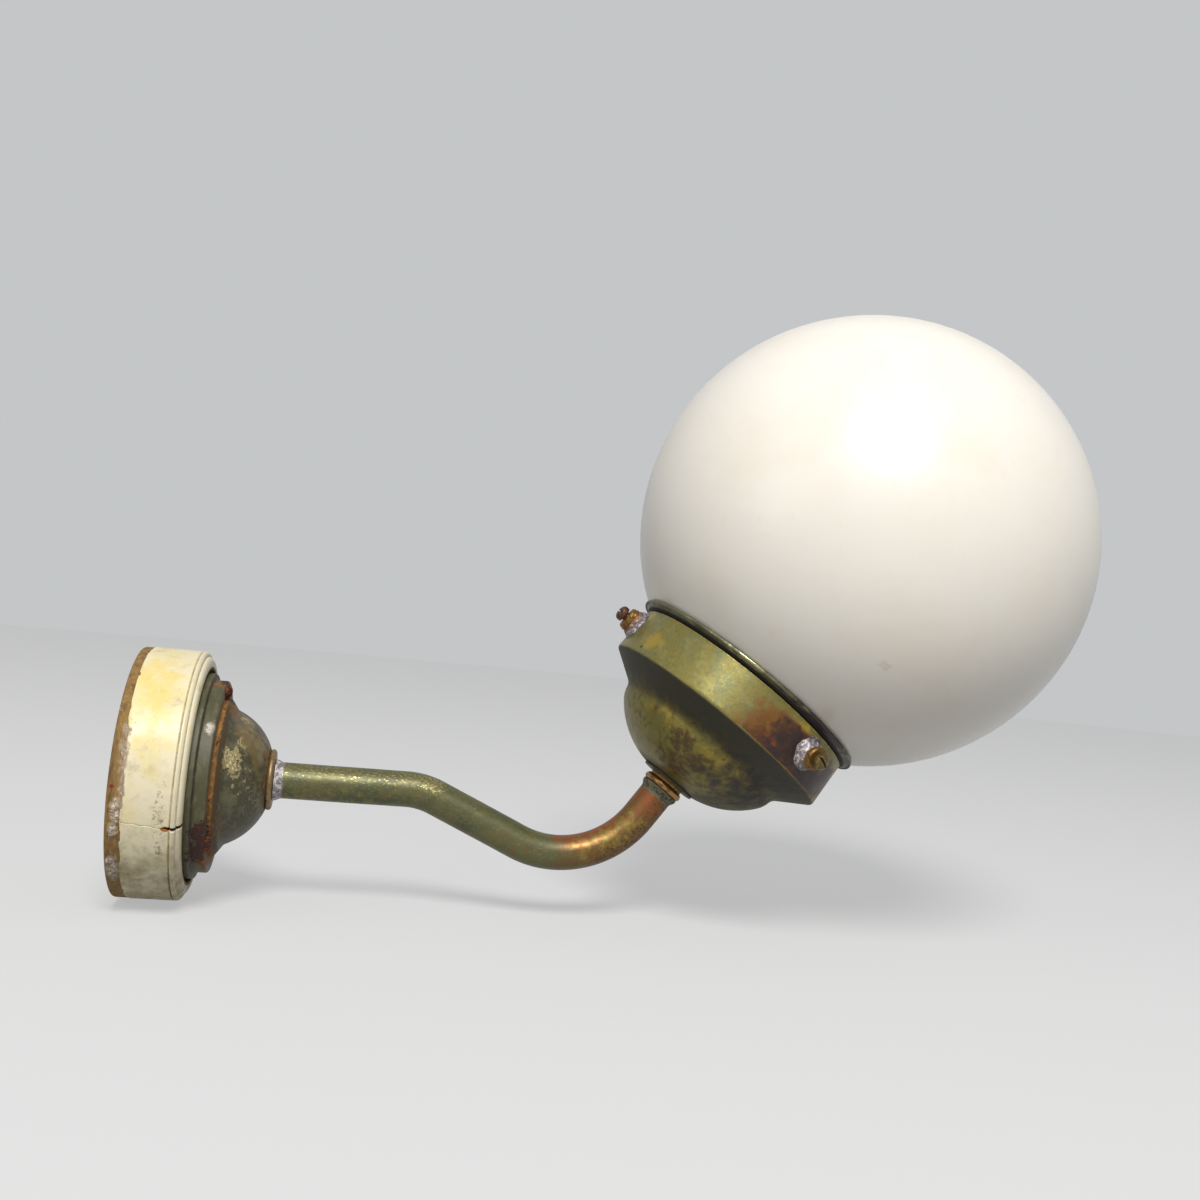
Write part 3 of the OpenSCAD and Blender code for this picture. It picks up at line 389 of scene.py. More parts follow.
def rough(points, size, seed=0):
    """Grains of three sizes, each half as large and half as strong as the one before."""
    return sum(grains(points, size / 2 ** k, seed + k) / 2 ** k for k in range(3)) / 1.75


def ease(value, low, high):
    """A smooth step from 0 at low to 1 at high, where low may be the greater."""
    t = np.clip((value - low) / (high - low), 0, 1)
    return t * t * (3 - 2 * t)


def near(value, middle, low, high):
    """1 within low of a middle, falling to 0 at high."""
    return 1 - ease(np.abs(value - middle), low, high)


def around(degrees, middle):
    """How far angles lie from a middle one, from -180 to 180 degrees."""
    return (degrees - middle + 180) % 360 - 180


def most(*masks):
    return np.maximum.reduce(masks)


class Grid:
    """The points of a turned piece, ring by ring, as arrays that a shape may move in place."""

    def __init__(self, outline, angles, place):
        self.radius, self.along = (np.repeat(outline[:, k], len(angles)) for k in (0, 1))
        self.angle = np.tile(angles, len(outline))
        self.degrees = np.degrees(self.angle)
        self.points = place.points(self.along, self.radius, self.angle)
        # How far the edge of a spot strays, along the axis and around it
        self.wander = [0.40 * grains(self.points, 6, k) + 0.25 * grains(self.points, 2.5, k + 1)
                       for k in (101, 105)]


def spots(p, *places):
    """The most of several spots: each is 1 at its place and falls to 0 at about its half sizes.

    A place is (along, degrees, half along, half around) in millimetres, and its strength where
    that isn't 1.
    """
    masks = []
    for along, degrees, half_along, half_around, *strength in places:
        across = np.radians(around(p.degrees, degrees)) * np.maximum(p.radius, 1)
        off = np.hypot((p.along - along) / half_along + p.wander[0],
                       across / half_around + p.wander[1])
        masks.append((1 - ease(off, 0.35, 1.45)) * (strength[0] if strength else 1.0))
    return most(*masks)


def mark(mesh, masks):
    """Keeps masks as attributes of a mesh's points."""
    for key, values in masks.items():
        layer = mesh.attributes.new(key, "FLOAT", "POINT")
        layer.data.foreach_set("value", np.asarray(values, np.float32))


def as_object(name, points, faces, material, masks=None, sharp=35):
    """An object from points in millimetres, with its masks."""
    mesh = bpy.data.meshes.new(name)
    mesh.from_pydata((points * MM).tolist(), [], faces)
    mark(mesh, masks or {})
    mesh.shade_smooth()
    mesh.set_sharp_from_angle(angle=math.radians(sharp))
    mesh.materials.append(material)
    piece = bpy.data.objects.new(name, mesh)
    bpy.context.scene.collection.objects.link(piece)
    return piece


def circle(n):
    return np.arange(n) * 2 * math.pi / n


def arc(radius, along, wide, high, first, last, n):
    """n points of an ellipse around (radius, along), from a first to a last angle in degrees."""
    return [(radius + wide * math.cos(a), along + high * math.sin(a))
            for a in np.radians(np.linspace(first, last, n))]


def left(degrees):
    """The direction to the left of a heading."""
    return np.array([-math.sin(math.radians(degrees)), math.cos(math.radians(degrees))])


def walk(start, heading, *runs, step=0.6):
    """Points and headings along straight runs (0, length) and arcs (radius, turn)."""
    path = [(np.array(start, float), heading)]
    for radius, size in runs:
        point, a = path[-1]
        if radius == 0:
            ahead = np.array([math.cos(math.radians(a)), math.sin(math.radians(a))])
            path.append((point + size * ahead, a))
            continue
        sign = 1 if size > 0 else -1
        centre = point + sign * radius * left(a)
        n = max(3, math.ceil(abs(math.radians(size)) * radius / step))
        path += [(centre - sign * radius * left(a + size * k / n), a + size * k / n)
                 for k in range(1, n + 1)]
    return path


def sheet(path, wall):
    """The closed outline of a sheet with that wall, on the left of its path."""
    return np.array([p for p, a in path] + [p + wall * left(a) for p, a in reversed(path)])


def fine(outline, step, hidden=0.0):
    """An outline whose edges are split so that none is longer than step.

    Those within the radius hidden may be 3 mm long, and one on the axis stays whole.
    """
    out = []
    for a, b in zip(outline, np.roll(outline, -1, axis=0)):
        far = max(a[0], b[0])
        longest = 999.0 if far < POLE else 3.0 if far < hidden else step
        n = max(1, math.ceil(float(np.hypot(*(b - a))) / longest))
        out += [a + (b - a) * k / n for k in range(n)]
    return np.array(out)


def grid_faces(rings, sides, loop):
    """Faces between rings of points; a loop joins the last ring to the first."""
    ring = np.arange(rings if loop else rings - 1)[:, None] * sides
    ahead = (ring + sides) % (rings * sides)
    here = np.arange(sides)
    there = (here + 1) % sides
    corners = [ring + here, ring + there, ahead + there, ahead + here]
    return np.stack(corners, -1).reshape(-1, 4).tolist()


def caps(rings, sides):
    """The faces that close a grid at its first and its last ring."""
    ring = np.arange(sides)
    return [ring[::-1].tolist(), (ring + (rings - 1) * sides).tolist()]


def turned(name, outline, place, material, turns=360, shape=None, step=0.6, sharp=35, angles=None,
           hidden=0.0):
    """A closed shell turned from an outline of (radius, along) points around a place's axis.

    shape, if given, takes the grid, moves its along and radius in place, and returns the masks.
    """
    outline = fine(np.array(outline, float), step, hidden)
    ahead = np.roll(outline, -1, axis=0)
    if np.sum(outline[:, 0] * ahead[:, 1] - ahead[:, 0] * outline[:, 1]) < 0:
        outline = outline[::-1]
    if angles is None:
        angles = circle(turns)
    p = Grid(outline, angles, place)
    masks = shape(p) if shape else {}
    points = place.points(p.along, p.radius, p.angle)
    poles = max(outline[0][0], outline[-1][0]) < POLE
    faces = grid_faces(len(outline), len(angles), not poles)
    if poles:
        faces += caps(len(outline), len(angles))
    return as_object(name, points, faces, material, masks, sharp)


def dented(depth, size, seed, where=lambda p: 1):
    """A shape that roughens a turned piece and gives it no mask."""
    def shape(p):
        p.radius += depth * rough(p.points, size, seed) * where(p)
        return {}
    return shape


def tube_points(middle, up, side, sides, radius):
    """Rings of points around the points of a line; radius is a number, or one for each point."""
    angle = circle(sides)
    out = (np.cos(angle)[None, :, None] * up[:, None]
           + np.sin(angle)[None, :, None] * side[:, None])
    return (middle[:, None] + radius * out).reshape(-1, 3)


def cut_away(piece, tools):
    """Cuts closed tool objects out of a piece, and keeps its attributes."""
    for tool in tools:
        modifier = piece.modifiers.new("cut", "BOOLEAN")
        modifier.object, modifier.operation, modifier.solver = tool, "DIFFERENCE", "EXACT"
    bake_modifiers(piece)
    for tool in tools:
        bpy.data.objects.remove(tool)


def bake_modifiers(piece):
    """Turns a piece and its modifiers into a plain mesh."""
    graph = bpy.context.evaluated_depsgraph_get()
    old = piece.data
    piece.data = bpy.data.meshes.new_from_object(piece.evaluated_get(graph))
    piece.modifiers.clear()
    bpy.data.meshes.remove(old)


def wear(piece, body, slot, *nodes):
    """Makes a piece ride on a body, and stand for its CAD nodes."""
    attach(piece, body)
    if nodes:
        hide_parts(*nodes)


# ---- Wall block ---------------------------------------------------------------------------

BLOCK_R = 50
# Within this radius the block shows bare wood
BARE_R = 44
CRACK_AT = 106.0
# Heights of the flange's back, which lies in the block's recess, its step and its front
FLANGE_BACK, FLANGE_STEP, FLANGE_FRONT = 23.8, 28.9, 33.9


def block_shape(p):
    outside = p.radius > BARE_R
    along, points = p.along, p.points
    # The crack is a hairline that opens into a wedge towards the lip
    off = (np.radians(p.degrees - CRACK_AT - 0.12 * (along - 12)) * BLOCK_R
           - 0.16 * np.sin(along * 1.1))
    wide = ease(along, 19.5, 23.5)
    crack = ((1 - ease(np.abs(off) / (0.17 + 0.60 * wide), 0.5, 1.2)) * ease(along, 4.5, 6.5)
             * outside)
    edge = (5.7 - 1.9 * spots(p, (5, 22, 99, 50)) + 0.5 * grains(points, 12, 3)
            + 0.3 * rough(points, 3.0, 4))
    bare = most((1 - ease(along, edge - 0.2, edge + 0.2)) * outside, 1.0 * (p.radius < BARE_R))
    crumbs = spots(p, (4.4, 101, 2.6, 5), (3.4, 109, 2.0, 3), (2.8, 129, 3.0, 9),
                   (3.5, 250, 3.0, 16), (3.2, 318, 2.6, 9))
    smear = spots(p, (4.3, 74, 2.3, 13), (4.8, 90, 1.6, 9), (3.5, 205, 2.4, 12),
                  (3.5, 290, 2.4, 12))
    scuffed = spots(p, (19.8, 119, 2.2, 6), (18.5, 104, 2.6, 18, 0.75), (20.5, 190, 2.4, 10),
                    (8.0, 232, 3.0, 6), (19, 330, 3, 16, 0.8), (7.5, 131, 4, 12, 0.7))
    # Soot darkens the back face towards its middle; the chamber, recess and holes get a painted
    # shade
    back = 0.55 - 0.35 * ease(p.radius, 30, BARE_R)
    sooty = (p.radius < BARE_R) * np.where(along < 0.3, back, 0.9)
    p.radius += outside * (0.10 * grains(points, 14, 1) + 0.03 * rough(points, 2.0, 2)
                           - 0.20 * bare - (0.18 + 1.1 * wide) * crack
                           + smear * 0.20 * np.maximum(rough(points, 1.6, 6) + 0.3, 0)
                           + crumbs * 0.85 * np.maximum(rough(points, 1.2, 7) + 0.25, 0))
    # Painted shade in the grooves beside the bead
    groove = most(0.85 * near(along, 23.0, 0.10, 0.50), 0.5 * near(along, 25.0, 0.05, 0.40))
    yellowed = spots(p, (12, 46, 11, 32), (8, 97, 4, 9, 0.5), (15, 33, 6, 14, 0.6),
                     (14, 300, 12, 26), (9, 225, 9, 20))
    return {"bare": bare, "sooty": sooty, "crack": crack * (0.5 + 0.5 * wide),
            "plaster": most(smear * 0.62, crumbs), "yellowed": 0.10 + 0.90 * yellowed,
            # Painted shade, darker towards the bottom
            "dirty": 0.10 + 0.90 * ease(np.abs(around(p.degrees, 165)), 80, 20),
            "scuffed": scuffed, "grime": 0.85 * groove * outside,
            "red_chip": spots(p, (1.6, 90, 0.9, 0.9)),
            "orange": spots(p, (21.0, CRACK_AT + 1.5, 1.8, 1.3))}


def make_block():
    bead = arc(48.4, 23.4, 1.6, 1.6, 0, 88, 9)
    ovolo = arc(44.9, 25.15, 2.9, 1.65, 0, 90, 10)
    outline = [(6, 0), (43.9, 0), (49.2, 0), (49.8, 0.25), (BLOCK_R, 0.8), (BLOCK_R, 22.55),
               (49.3, 23.0), *bead, (47.9, 24.95), *ovolo, (44.1, 26.8), (42.9, 26.7),
               (42.9, FLANGE_BACK), (30, FLANGE_BACK), (30, 6), (6, 6)]
    coarse = np.arange(0, 360, 0.75)
    close = np.arange(CRACK_AT - 6, CRACK_AT + 7, 0.12)
    coarse = coarse[(coarse < close[0]) | (coarse > close[-1])]
    angles = np.radians(np.sort(np.concatenate([coarse, close])))
    block = turned("painted_block", outline, WALL, PAINTED_BLOCK, shape=block_shape, step=0.55,
                   angles=angles, hidden=BARE_R)
    holes = []
    for height in (-21.0, 21.0):
        # Turned a little, so that no corner of the tool meets one of the block
        place = Place((0, 0, height), (1, 0, 0), (0, math.sin(0.08), math.cos(0.08)))
        # The holes are bare wood, darkened inside as a painted shade
        holes.append(turned(
            "hole", [(TIP, -2), (2.4, -2), (2.4, 3.9), (6.5, 8), (TIP, 8)], place, PAINTED_BLOCK,
            turns=48, step=9,
            shape=lambda p: {key: np.ones_like(p.radius) for key in ("bare", "sooty")}))
    cut_away(block, holes)
    wear(block, "lamp", "block_paint", "wall_block")


# ---- Rose ---------------------------------------------------------------------------------

def flange_shape(p):
    along, points = p.along, p.points
    outside = p.radius > 31
    blister = spots(p, (31, 118, 4, 5), (33, 133, 5, 9), (FLANGE_FRONT, 124, 4, 11),
                    (FLANGE_FRONT, 8, 3, 5))
    step = near(along, FLANGE_STEP, 0.2, 0.9)
    p.along += outside * (blister * 0.35 * np.maximum(rough(points, 2.0, 11) + 0.2, 0)
                          * (along > 33) + 0.03 * rough(points, 4, 12))
    p.radius += outside * (blister * 0.4 * np.maximum(rough(points, 2.0, 13), 0)
                           + 0.04 * grains(points, 9, 14))
    rust = spots(p, (31.5, 13, 2.6, 5), (FLANGE_FRONT, 140, 4, 14), (FLANGE_FRONT, 250, 5, 16, 0.8))
    return {"blister": blister, "splash": spots(p, (32.0, 55, 2.0, 2.9)),
            "rust": most(rust, 0.9 * (1 - ease(p.radius, 34.5, 37.0)) * (along > 33)),
            # Painted shade at the step and in the block's recess
            "grime": most(0.8 * step, 0.6 * (along < 26))}


def make_flange():
    outline = [(25, FLANGE_BACK), (41.3, FLANGE_BACK), *arc(40.7, 28.3, 0.6, 0.6, 0, 90, 5),
               (39.0, FLANGE_STEP), (38.7, 29.2), *arc(38.1, 33.3, 0.6, 0.6, 0, 90, 5),
               (25, FLANGE_FRONT)]
    wear(turned("rose_ring", outline, WALL, FLANGE_PAINT, turns=420, shape=flange_shape, step=0.7),
         "lamp", "flange_paint", "rose_flange")


def rose_shape(p):
    along, points = p.along, p.points
    outside = along > FLANGE_FRONT
    foot = 1 - ease(along, 36.4, 38.6)
    rusty = most(1 - ease(along, 34.8, 36.6),
                 spots(p, (38, 12, 3, 9, 0.6), (37.5, 128, 3, 9, 0.5), (54, 90, 2, 40, 0.6),
                       (53.5, 300, 2, 30, 0.6)))
    lift = (rusty * 0.16 * rough(points, 2.0, 21) + 0.05 * grains(points, 11, 22)
            + 0.02 * rough(points, 1.6, 23))
    p.radius += outside * lift * 0.7
    p.along += outside * lift * 0.6
    return {"rust": rusty, "foot": foot, "umber": spots(p, (41, 22, 5, 10), (47, 15, 6, 12, 0.7)),
            # Bare bronze patches, which also carry a painted highlight
            "bronze": spots(p, (44.5, 37, 6, 11), (50, 46, 4, 11), (51, 85, 2.5, 20, 0.5),
                            (44, 230, 8, 14)),
            "cream": spots(p, (37.8, 64, 3.5, 6), (41, 72, 4, 7), (43, 54, 3, 5, 0.75),
                           (42, 17, 3, 5, 0.7), (46, 92, 7, 12, 0.4), (42, 200, 4, 7, 0.8)),
            "scratched": spots(p, (48, 92, 6, 10), (45, 300, 7, 12))}


def make_rose():
    path = walk((31.95, FLANGE_FRONT), 90, (0, 1.0), (1.0, 55), (0, 4.5), (2.5, -32.2),
                (25.5, 46), (1.0, 21.2), (0, 4.82))
    wear(turned("rose_cover", sheet(path, 1.2), WALL, ROSE_METAL, turns=400, shape=rose_shape),
         "lamp", "rose_paint", "rose_dome")
    outline = [(7.5, 53.34), *arc(11.2, 54.54, 1.2, 1.2, -90, 90, 13), (7.5, 55.74)]
    wear(turned("rose_bead", outline, WALL, COLLAR_BRASS, turns=160, shape=dented(0.06, 3, 31)),
         "lamp", "rose_collar_brass", "rose_collar")


# ---- Arm ----------------------------------------------------------------------------------

TUBE_R, TUBE_BORE_R = 7.4, 6.2


def arm_line(step):
    """Points along the arm's middle, the way up at each, and the length so far."""
    path = walk((42.14, 0), 0, (0, 67.36), (31.7, -24.2), (0, 38.9), (42.5, 78.9), (0, 14.8),
                step=step)
    stops = []
    for (a, heading), (b, _) in zip(path, path[1:]):
        n = max(1, math.ceil(float(np.hypot(*(b - a))) / step))
        stops += [(a + (b - a) * k / n, heading) for k in range(n)]
    stops.append(path[-1])
    xz = np.array([s[0] for s in stops])
    turn = np.radians([s[1] for s in stops])
    zero = np.zeros(len(stops))
    return (np.stack([xz[:, 0], zero, xz[:, 1]], 1),
            np.stack([-np.sin(turn), zero, np.cos(turn)], 1),
            np.concatenate([[0], np.cumsum(np.hypot(*np.diff(xz, axis=0).T))]))


def make_arm():
    sides = 84
    side = np.array([[0.0, -1.0, 0.0]])
    middle, up, run = arm_line(0.7)
    bore, bore_up = (v[::-1] for v in arm_line(3.0)[:2])
    length = run[-1]
    run = run[:, None] * np.ones(sides)
    # Cones of solder at both ends
    cone = (ease(run, 13.2, 13.6) * (1 - ease(run, 13.6, 17.2))
            + ease(run, length - 3.4, length - 0.6))
    dull = ease(run, length - 5.0, length - 3.2)
    solder = most(ease(run, 13.0, 13.5) * (1 - ease(run, 16.8, 18.2)), 0.7 * dull)
    plain = tube_points(middle, up, side, sides, TUBE_R)
    lumps, waves, specks = (noise.reshape(run.shape) for noise in (
        rough(plain, 2.2, 41), grains(plain, 13, 42), rough(plain, 1.8, 43)))
    radius = (TUBE_R + 1.2 * cone + 0.30 * lumps * solder * (cone + 0.3) + 0.05 * waves
              + 0.02 * specks)
    points = np.concatenate([tube_points(middle, up, side, sides, radius[:, :, None]),
                             tube_points(bore, bore_up, side, sides, TUBE_BORE_R)])
    part = run / length

    def facing(degrees):
        """1 in this direction around the tube, falling to 0 on its far half."""
        return np.maximum(np.cos(circle(sides) - math.radians(degrees)), 0)

    def hump(low, high):
        """1 between two parts of the arm's length, with soft ends."""
        return ease(part, low - 0.05, low + 0.03) * (1 - ease(part, high - 0.03, high + 0.05))

    masks = {
        "solder": solder, "dull": dull,
        "copper": ease(part, 0.66, 0.84) + 0.2 * facing(90) * hump(0.60, 1.0),
        "orange": most(hump(0.70, 0.88) * facing(0), 0.8 * hump(0.93, 1.0) * facing(70),
                       0.35 * hump(0.62, 0.66) * facing(120)),
        # A painted highlight along the top of the copper end, and yellow patches low near the wall
        "yellow": most(hump(0.74, 0.93) * facing(70), 0.75 * hump(0.06, 0.30) * facing(140) ** 2),
        "freckled": hump(0.78, 0.99) * facing(130),
        # Bright along the top where the light falls: worn brass and a painted highlight
        "rubbed": 0.85 * hump(0.06, 0.42) * facing(40) + 0.4 * hump(0.40, 0.75) * facing(30)}
    in_bore = np.zeros(len(points) - run.size)
    masks = {key: np.concatenate([mask.ravel(), in_bore]) for key, mask in masks.items()}
    faces = grid_faces(len(points) // sides, sides, True)
    wear(as_object("bent_arm", points, faces, ARM_BRASS, masks), "lamp", "arm_brass", "arm_tube")


# ---- Gallery: pieces on the arm's end, clamped by a nipple through their bore ----------------

CLAMPED_BORE_R = 6.15
WASHER_FOOT, CUP_FOOT = 5.6, 6.8
# The height at which the band starts, and by how much the band leans in towards its rim
BAND_FOOT, BAND_LEAN = 37.6, math.radians(2.5)
# The screws' height and the band's radius there, the first screw's angle, and the radii at which
# a bush ends and a screw's slot starts
SCREW_ALONG, BAND_AT_SCREW, SCREW_TURN, BUSH_TOP, SLOT_FLOOR = 48.1945, 53.734, 178.0, 59.93, 63.1


def make_arm_end():
    ring = [(CLAMPED_BORE_R, 0.8), *arc(7.5, 2.5, 1.7, 1.7, -90, 90, 13), (7.9, 4.3),
            (7.8, WASHER_FOOT), (CLAMPED_BORE_R, WASHER_FOOT)]
    wear(turned("arm_ring", ring, CUP, RING_BRASS, turns=128, shape=dented(0.06, 2.5, 51)),
         "lamp", "ring_brass", "gallery_ring")
    washer = [(CLAMPED_BORE_R, WASHER_FOOT), (12.3, WASHER_FOOT), (12.6, 5.9), (12.6, 6.5),
              (12.3, CUP_FOOT), (CLAMPED_BORE_R, CUP_FOOT)]
    wear(turned("seat_disc", washer, CUP, WASHER_BRASS, turns=160),
         "lamp", "washer_brass", "seat_washer")


def cup_shape(p):
    along, points = p.along, p.points
    band = ease(along, 37.0, 38.0)
    low = 1 - ease(along, 28, 32)
    pit = spots(p, (39.8, 201, 0.7, 1.1))
    p.radius += (0.12 * grains(points, 22, 61) + 0.05 * grains(points, 7, 62)
                 + 0.03 * np.sin(along * 5.5) * low - 0.5 * pit)
    p.along += 0.05 * grains(points, 18, 63)
    # The stain starts later towards the rim, whose edge stays clean
    stained = (ease(p.degrees - 0.5 * (along - 38), 247, 284) * (1 - ease(p.degrees, 300, 345))
               * band)
    stained *= 1 - 0.85 * ease(along + 1.2 * p.wander[0], 52, 55.5)
    # The cove under the band gets a painted shade
    underside = ease(along, 20.0, 33.0) * (1 - ease(along, 36.4, 37.8))
    # The golden spot at 54.5 mm and 187 degrees is a painted glint on the band's top edge
    return {"golden": spots(p, (44.5, 205, 4.5, 6, 1.1), (24, 272, 6, 12, 0.6),
                            (25, 236, 5, 16, 0.6), (54.5, 187, 3, 6), (46, 232, 9, 30, 0.3),
                            (54.5, 288, 3, 7, 1.2), (45, 95, 12, 30, 0.6)),
            "brown": most(0.38 * low, spots(
                p, (20, 243, 6, 9), (17, 268, 6, 10, 0.9), (12, 255, 5, 14, 0.8),
                (30, 20, 14, 24, 0.75), (44, 150, 9, 14, 0.7))),
            "orange": spots(p, (41, 276, 5, 6), (50, 266, 5, 4, 0.8), (43, 292, 3, 3, 0.7)),
            "stained": stained, "olive": low * 0.9,
            # Purple on the right, partly a painted shade
            "purple": spots(p, (45, 318, 14, 18, 0.9), (44, 345, 12, 26, 0.8),
                            (22, 305, 12, 22, 0.75)),
            # Painted shade: the cove under the band, the dome's lower right, and the middle round
            # the seat
            "shade": most(1.1 * underside, 0.75 * near(around(p.degrees, 330), 0, 22, 55) * low,
                          0.8 * (1 - ease(p.radius, 12.5, 23))),
            # Painted highlight on the band's rim and, fainter, along its crease
            "edge": most(ease(along, 56.2, 56.9), 0.22 * near(along, BAND_FOOT, 0.2, 0.8)),
            "pit": pit}


def make_cup():
    path = walk((CLAMPED_BORE_R, CUP_FOOT), 0, (0, 7.35), (3, 11), (39, 41), (12, 26), (5, -45),
                (0, 14.1), (1.2, 59.5), (0, 19.2), step=0.8)
    wear(turned("spun_gallery", sheet(path, 1.1), CUP, GALLERY_BRASS, turns=400, shape=cup_shape,
                step=0.8), "lamp", "gallery_brass", "gallery")


# ---- Screws and bushes ----------------------------------------------------------------------

def ring_tree():
    """Copies of a piece, equally spaced on a circle around Z and facing outwards."""
    tree = bpy.data.node_groups.new("equal_pieces_on_a_circle", "GeometryNodeTree")
    for name, kind in (("Geometry", "Geometry"), ("Count", "Int"), ("Radius", "Float"),
                       ("First angle", "Float"), ("Outwards", "Float"), ("Loose turn", "Float"),
                       ("Material", "Material")):
        tree.interface.new_socket(name=name, in_out="INPUT", socket_type="NodeSocket" + kind)
    tree.interface.new_socket(name="Geometry", in_out="OUTPUT", socket_type="NodeSocketGeometry")
    given = add(tree, "NodeGroupInput").outputs
    index = add(tree, "GeometryNodeInputIndex").outputs[0]
    share = maths(tree, "DIVIDE", index, given["Count"])
    turn = maths(tree, "MULTIPLY_ADD", share, 2 * math.pi, given["First angle"])
    x, y = (maths(tree, "MULTIPLY", maths(tree, kind, turn), given["Radius"])
            for kind in ("COSINE", "SINE"))
    place = add(tree, "ShaderNodeCombineXYZ", {0: x, 1: y}).outputs[0]
    points = add(tree, "GeometryNodePoints",
                 {"Count": given["Count"], "Position": place}).outputs[0]
    loose = add(tree, "FunctionNodeRandomValue",
                {2: 0.0, 3: given["Loose turn"], "ID": index, "Seed": 7},
                data_type="FLOAT").outputs[1]
    facing = maths(tree, "MULTIPLY_ADD", turn, given["Outwards"], loose)
    rotation = add(tree, "ShaderNodeCombineXYZ", {2: facing}).outputs[0]
    copies = add(tree, "GeometryNodeInstanceOnPoints",
                 {"Points": points, "Instance": given["Geometry"], "Rotation": rotation}).outputs[0]
    real = add(tree, "GeometryNodeRealizeInstances", {"Geometry": copies}).outputs[0]
    dressed = add(tree, "GeometryNodeSetMaterial",
                  {"Geometry": real, "Material": given["Material"]}).outputs[0]
    add(tree, "NodeGroupOutput", {"Geometry": dressed})
    return tree


RING_TREE = ring_tree()


def ring_of(piece, place, material, radius, first, outwards, loose):
    """Replaces a piece, drawn beside the origin, by three copies around a place's axis."""
    modifier = piece.modifiers.new("ring", "NODES")
    modifier.node_group = RING_TREE
    given = {"Count": 3, "Radius": radius * MM, "First angle": math.radians(first),
             "Outwards": outwards, "Loose turn": loose, "Material": material}
    for socket in RING_TREE.interface.items_tree:
        if socket.in_out == "INPUT" and socket.name in given:
            modifier[socket.identifier] = given[socket.name]
    bake_modifiers(piece)
    basis = Matrix([list(v) for v in zip(place.start, place.side, place.axis)]).to_4x4()
    piece.data.transform(Matrix.Translation(place.origin * MM) @ basis)


def slot_tool(half_length, width, bottom, top, place):
    """A closed bar that cuts a screw's slot, across the place's axis."""
    corners = np.array([[a, b, c] for a in (-half_length, half_length)
                        for b in (-width / 2, width / 2) for c in (bottom, top)], float)
    basis = np.stack([place.start, place.side, place.axis])
    faces = [[0, 1, 3, 2], [4, 6, 7, 5], [0, 4, 5, 1], [2, 3, 7, 6], [0, 2, 6, 4], [1, 5, 7, 3]]
    return as_object("slot", place.origin + corners @ basis, faces, SCREW_BRASS)


def make_flange_screws():
    head_r, head_h = 3.2, 2.6
    ball_r = (head_r ** 2 + head_h ** 2) / (2 * head_h)
    crown = [(ball_r * math.sin(a), head_h - ball_r + ball_r * math.cos(a))
             for a in np.radians(np.linspace(1, 69, 16))]
    crown = [q for q in crown if q[0] < head_r and q[1] > 0]
    outline = [(TIP, head_h), *crown, (head_r, 0.0), (1.75, 0.0), (1.75, -21.9), (TIP, -21.9)]

    def pitted(p):
        p.radius += 0.12 * rough(p.points + 5, 1.5, 71) * (p.radius > 0.3) * (p.along > 0)
        return {}

    head = turned("flange_wood_screws", outline, AXIS_Z, RUSTY_STEEL, turns=48, shape=pitted,
                  step=0.5)
    cut_away(head, [slot_tool(5, 1.0, 1.3, 4, AXIS_Z)])
    ring_of(head, WALL.moved(FLANGE_FRONT), RUSTY_STEEL, 35.4, 10, 0.0, 3.0)
    wear(head, "lamp", "rusty_steel", "flange_screws")


def make_bushes():
    foot = BAND_AT_SCREW - 1.0
    rise = [(7.2, 0.0), (6.9, 1.0), (6.4, 2.0), (5.5, 3.2), (4.8, 4.3), (4.7, 4.7), (5.0, 5.0)]
    outline = [(2.05, foot), *[(radius, foot + height) for radius, height in rise], (5.0, 59.2),
               (4.5, BUSH_TOP), (2.05, BUSH_TOP)]
    bush = turned("soldered_bushes", outline, AXIS_X, BUSH_SOLDER, turns=56, step=0.45)
    ring_of(bush, CUP.moved(SCREW_ALONG), BUSH_SOLDER, 0.0, SCREW_TURN, 1.0, 0.0)
    mesh = bush.data
    co = np.zeros(len(mesh.vertices) * 3)
    mesh.vertices.foreach_get("co", co)
    points = co.reshape(-1, 3) / MM
    local = points - CUP.origin - SCREW_ALONG * CUP.axis
    height, x, y = local @ CUP.axis, local @ CUP.start, local @ CUP.side
    # Each point's bush, the way out through its middle, and how far the point lies along it
    first, third = math.radians(SCREW_TURN), 2 * math.pi / 3
    turn = first + np.round((np.arctan2(y, x) - first) / third) * 2 * math.pi / 3
    ahead = np.cos(turn)[:, None] * CUP.start + np.sin(turn)[:, None] * CUP.side
    reach = (local * ahead).sum(1)
    across = local - reach[:, None] * ahead
    wide = np.linalg.norm(across, axis=1)
    crumb = ease(wide, 2.4, 4.0) * (1 - ease(reach, 57.6, 58.6))
    swell = crumb * (0.95 * rough(points, 3.2, 81) + 0.1) + 0.05 * rough(points, 1.5, 82)
    # The solder's foot lies on the band
    band = BAND_AT_SCREW - math.tan(BAND_LEAN) * height
    level = np.sqrt(np.maximum(reach ** 2 + (wide ** 2 - height ** 2).clip(0), 0))
    sag = np.where(reach < BAND_AT_SCREW + 0.2, band + 0.03 - level, 0)
    points = (points + across / np.maximum(wide, 0.5)[:, None] * swell[:, None]
              + ahead * sag[:, None])
    mesh.vertices.foreach_set("co", (points * MM).ravel())
    # The bush on the viewer's left is browner than the others
    left_one = np.cos(turn - first) > 0.9
    mark(mesh, {"ring": ease(reach, 56.9, 58.3),
                "browned": 0.20 + left_one * (0.15 + 0.65 * ease(reach, 54.0, 57.0))})
    mesh.update()
    wear(bush, "lamp", "bush_solder", "screw_bushes")


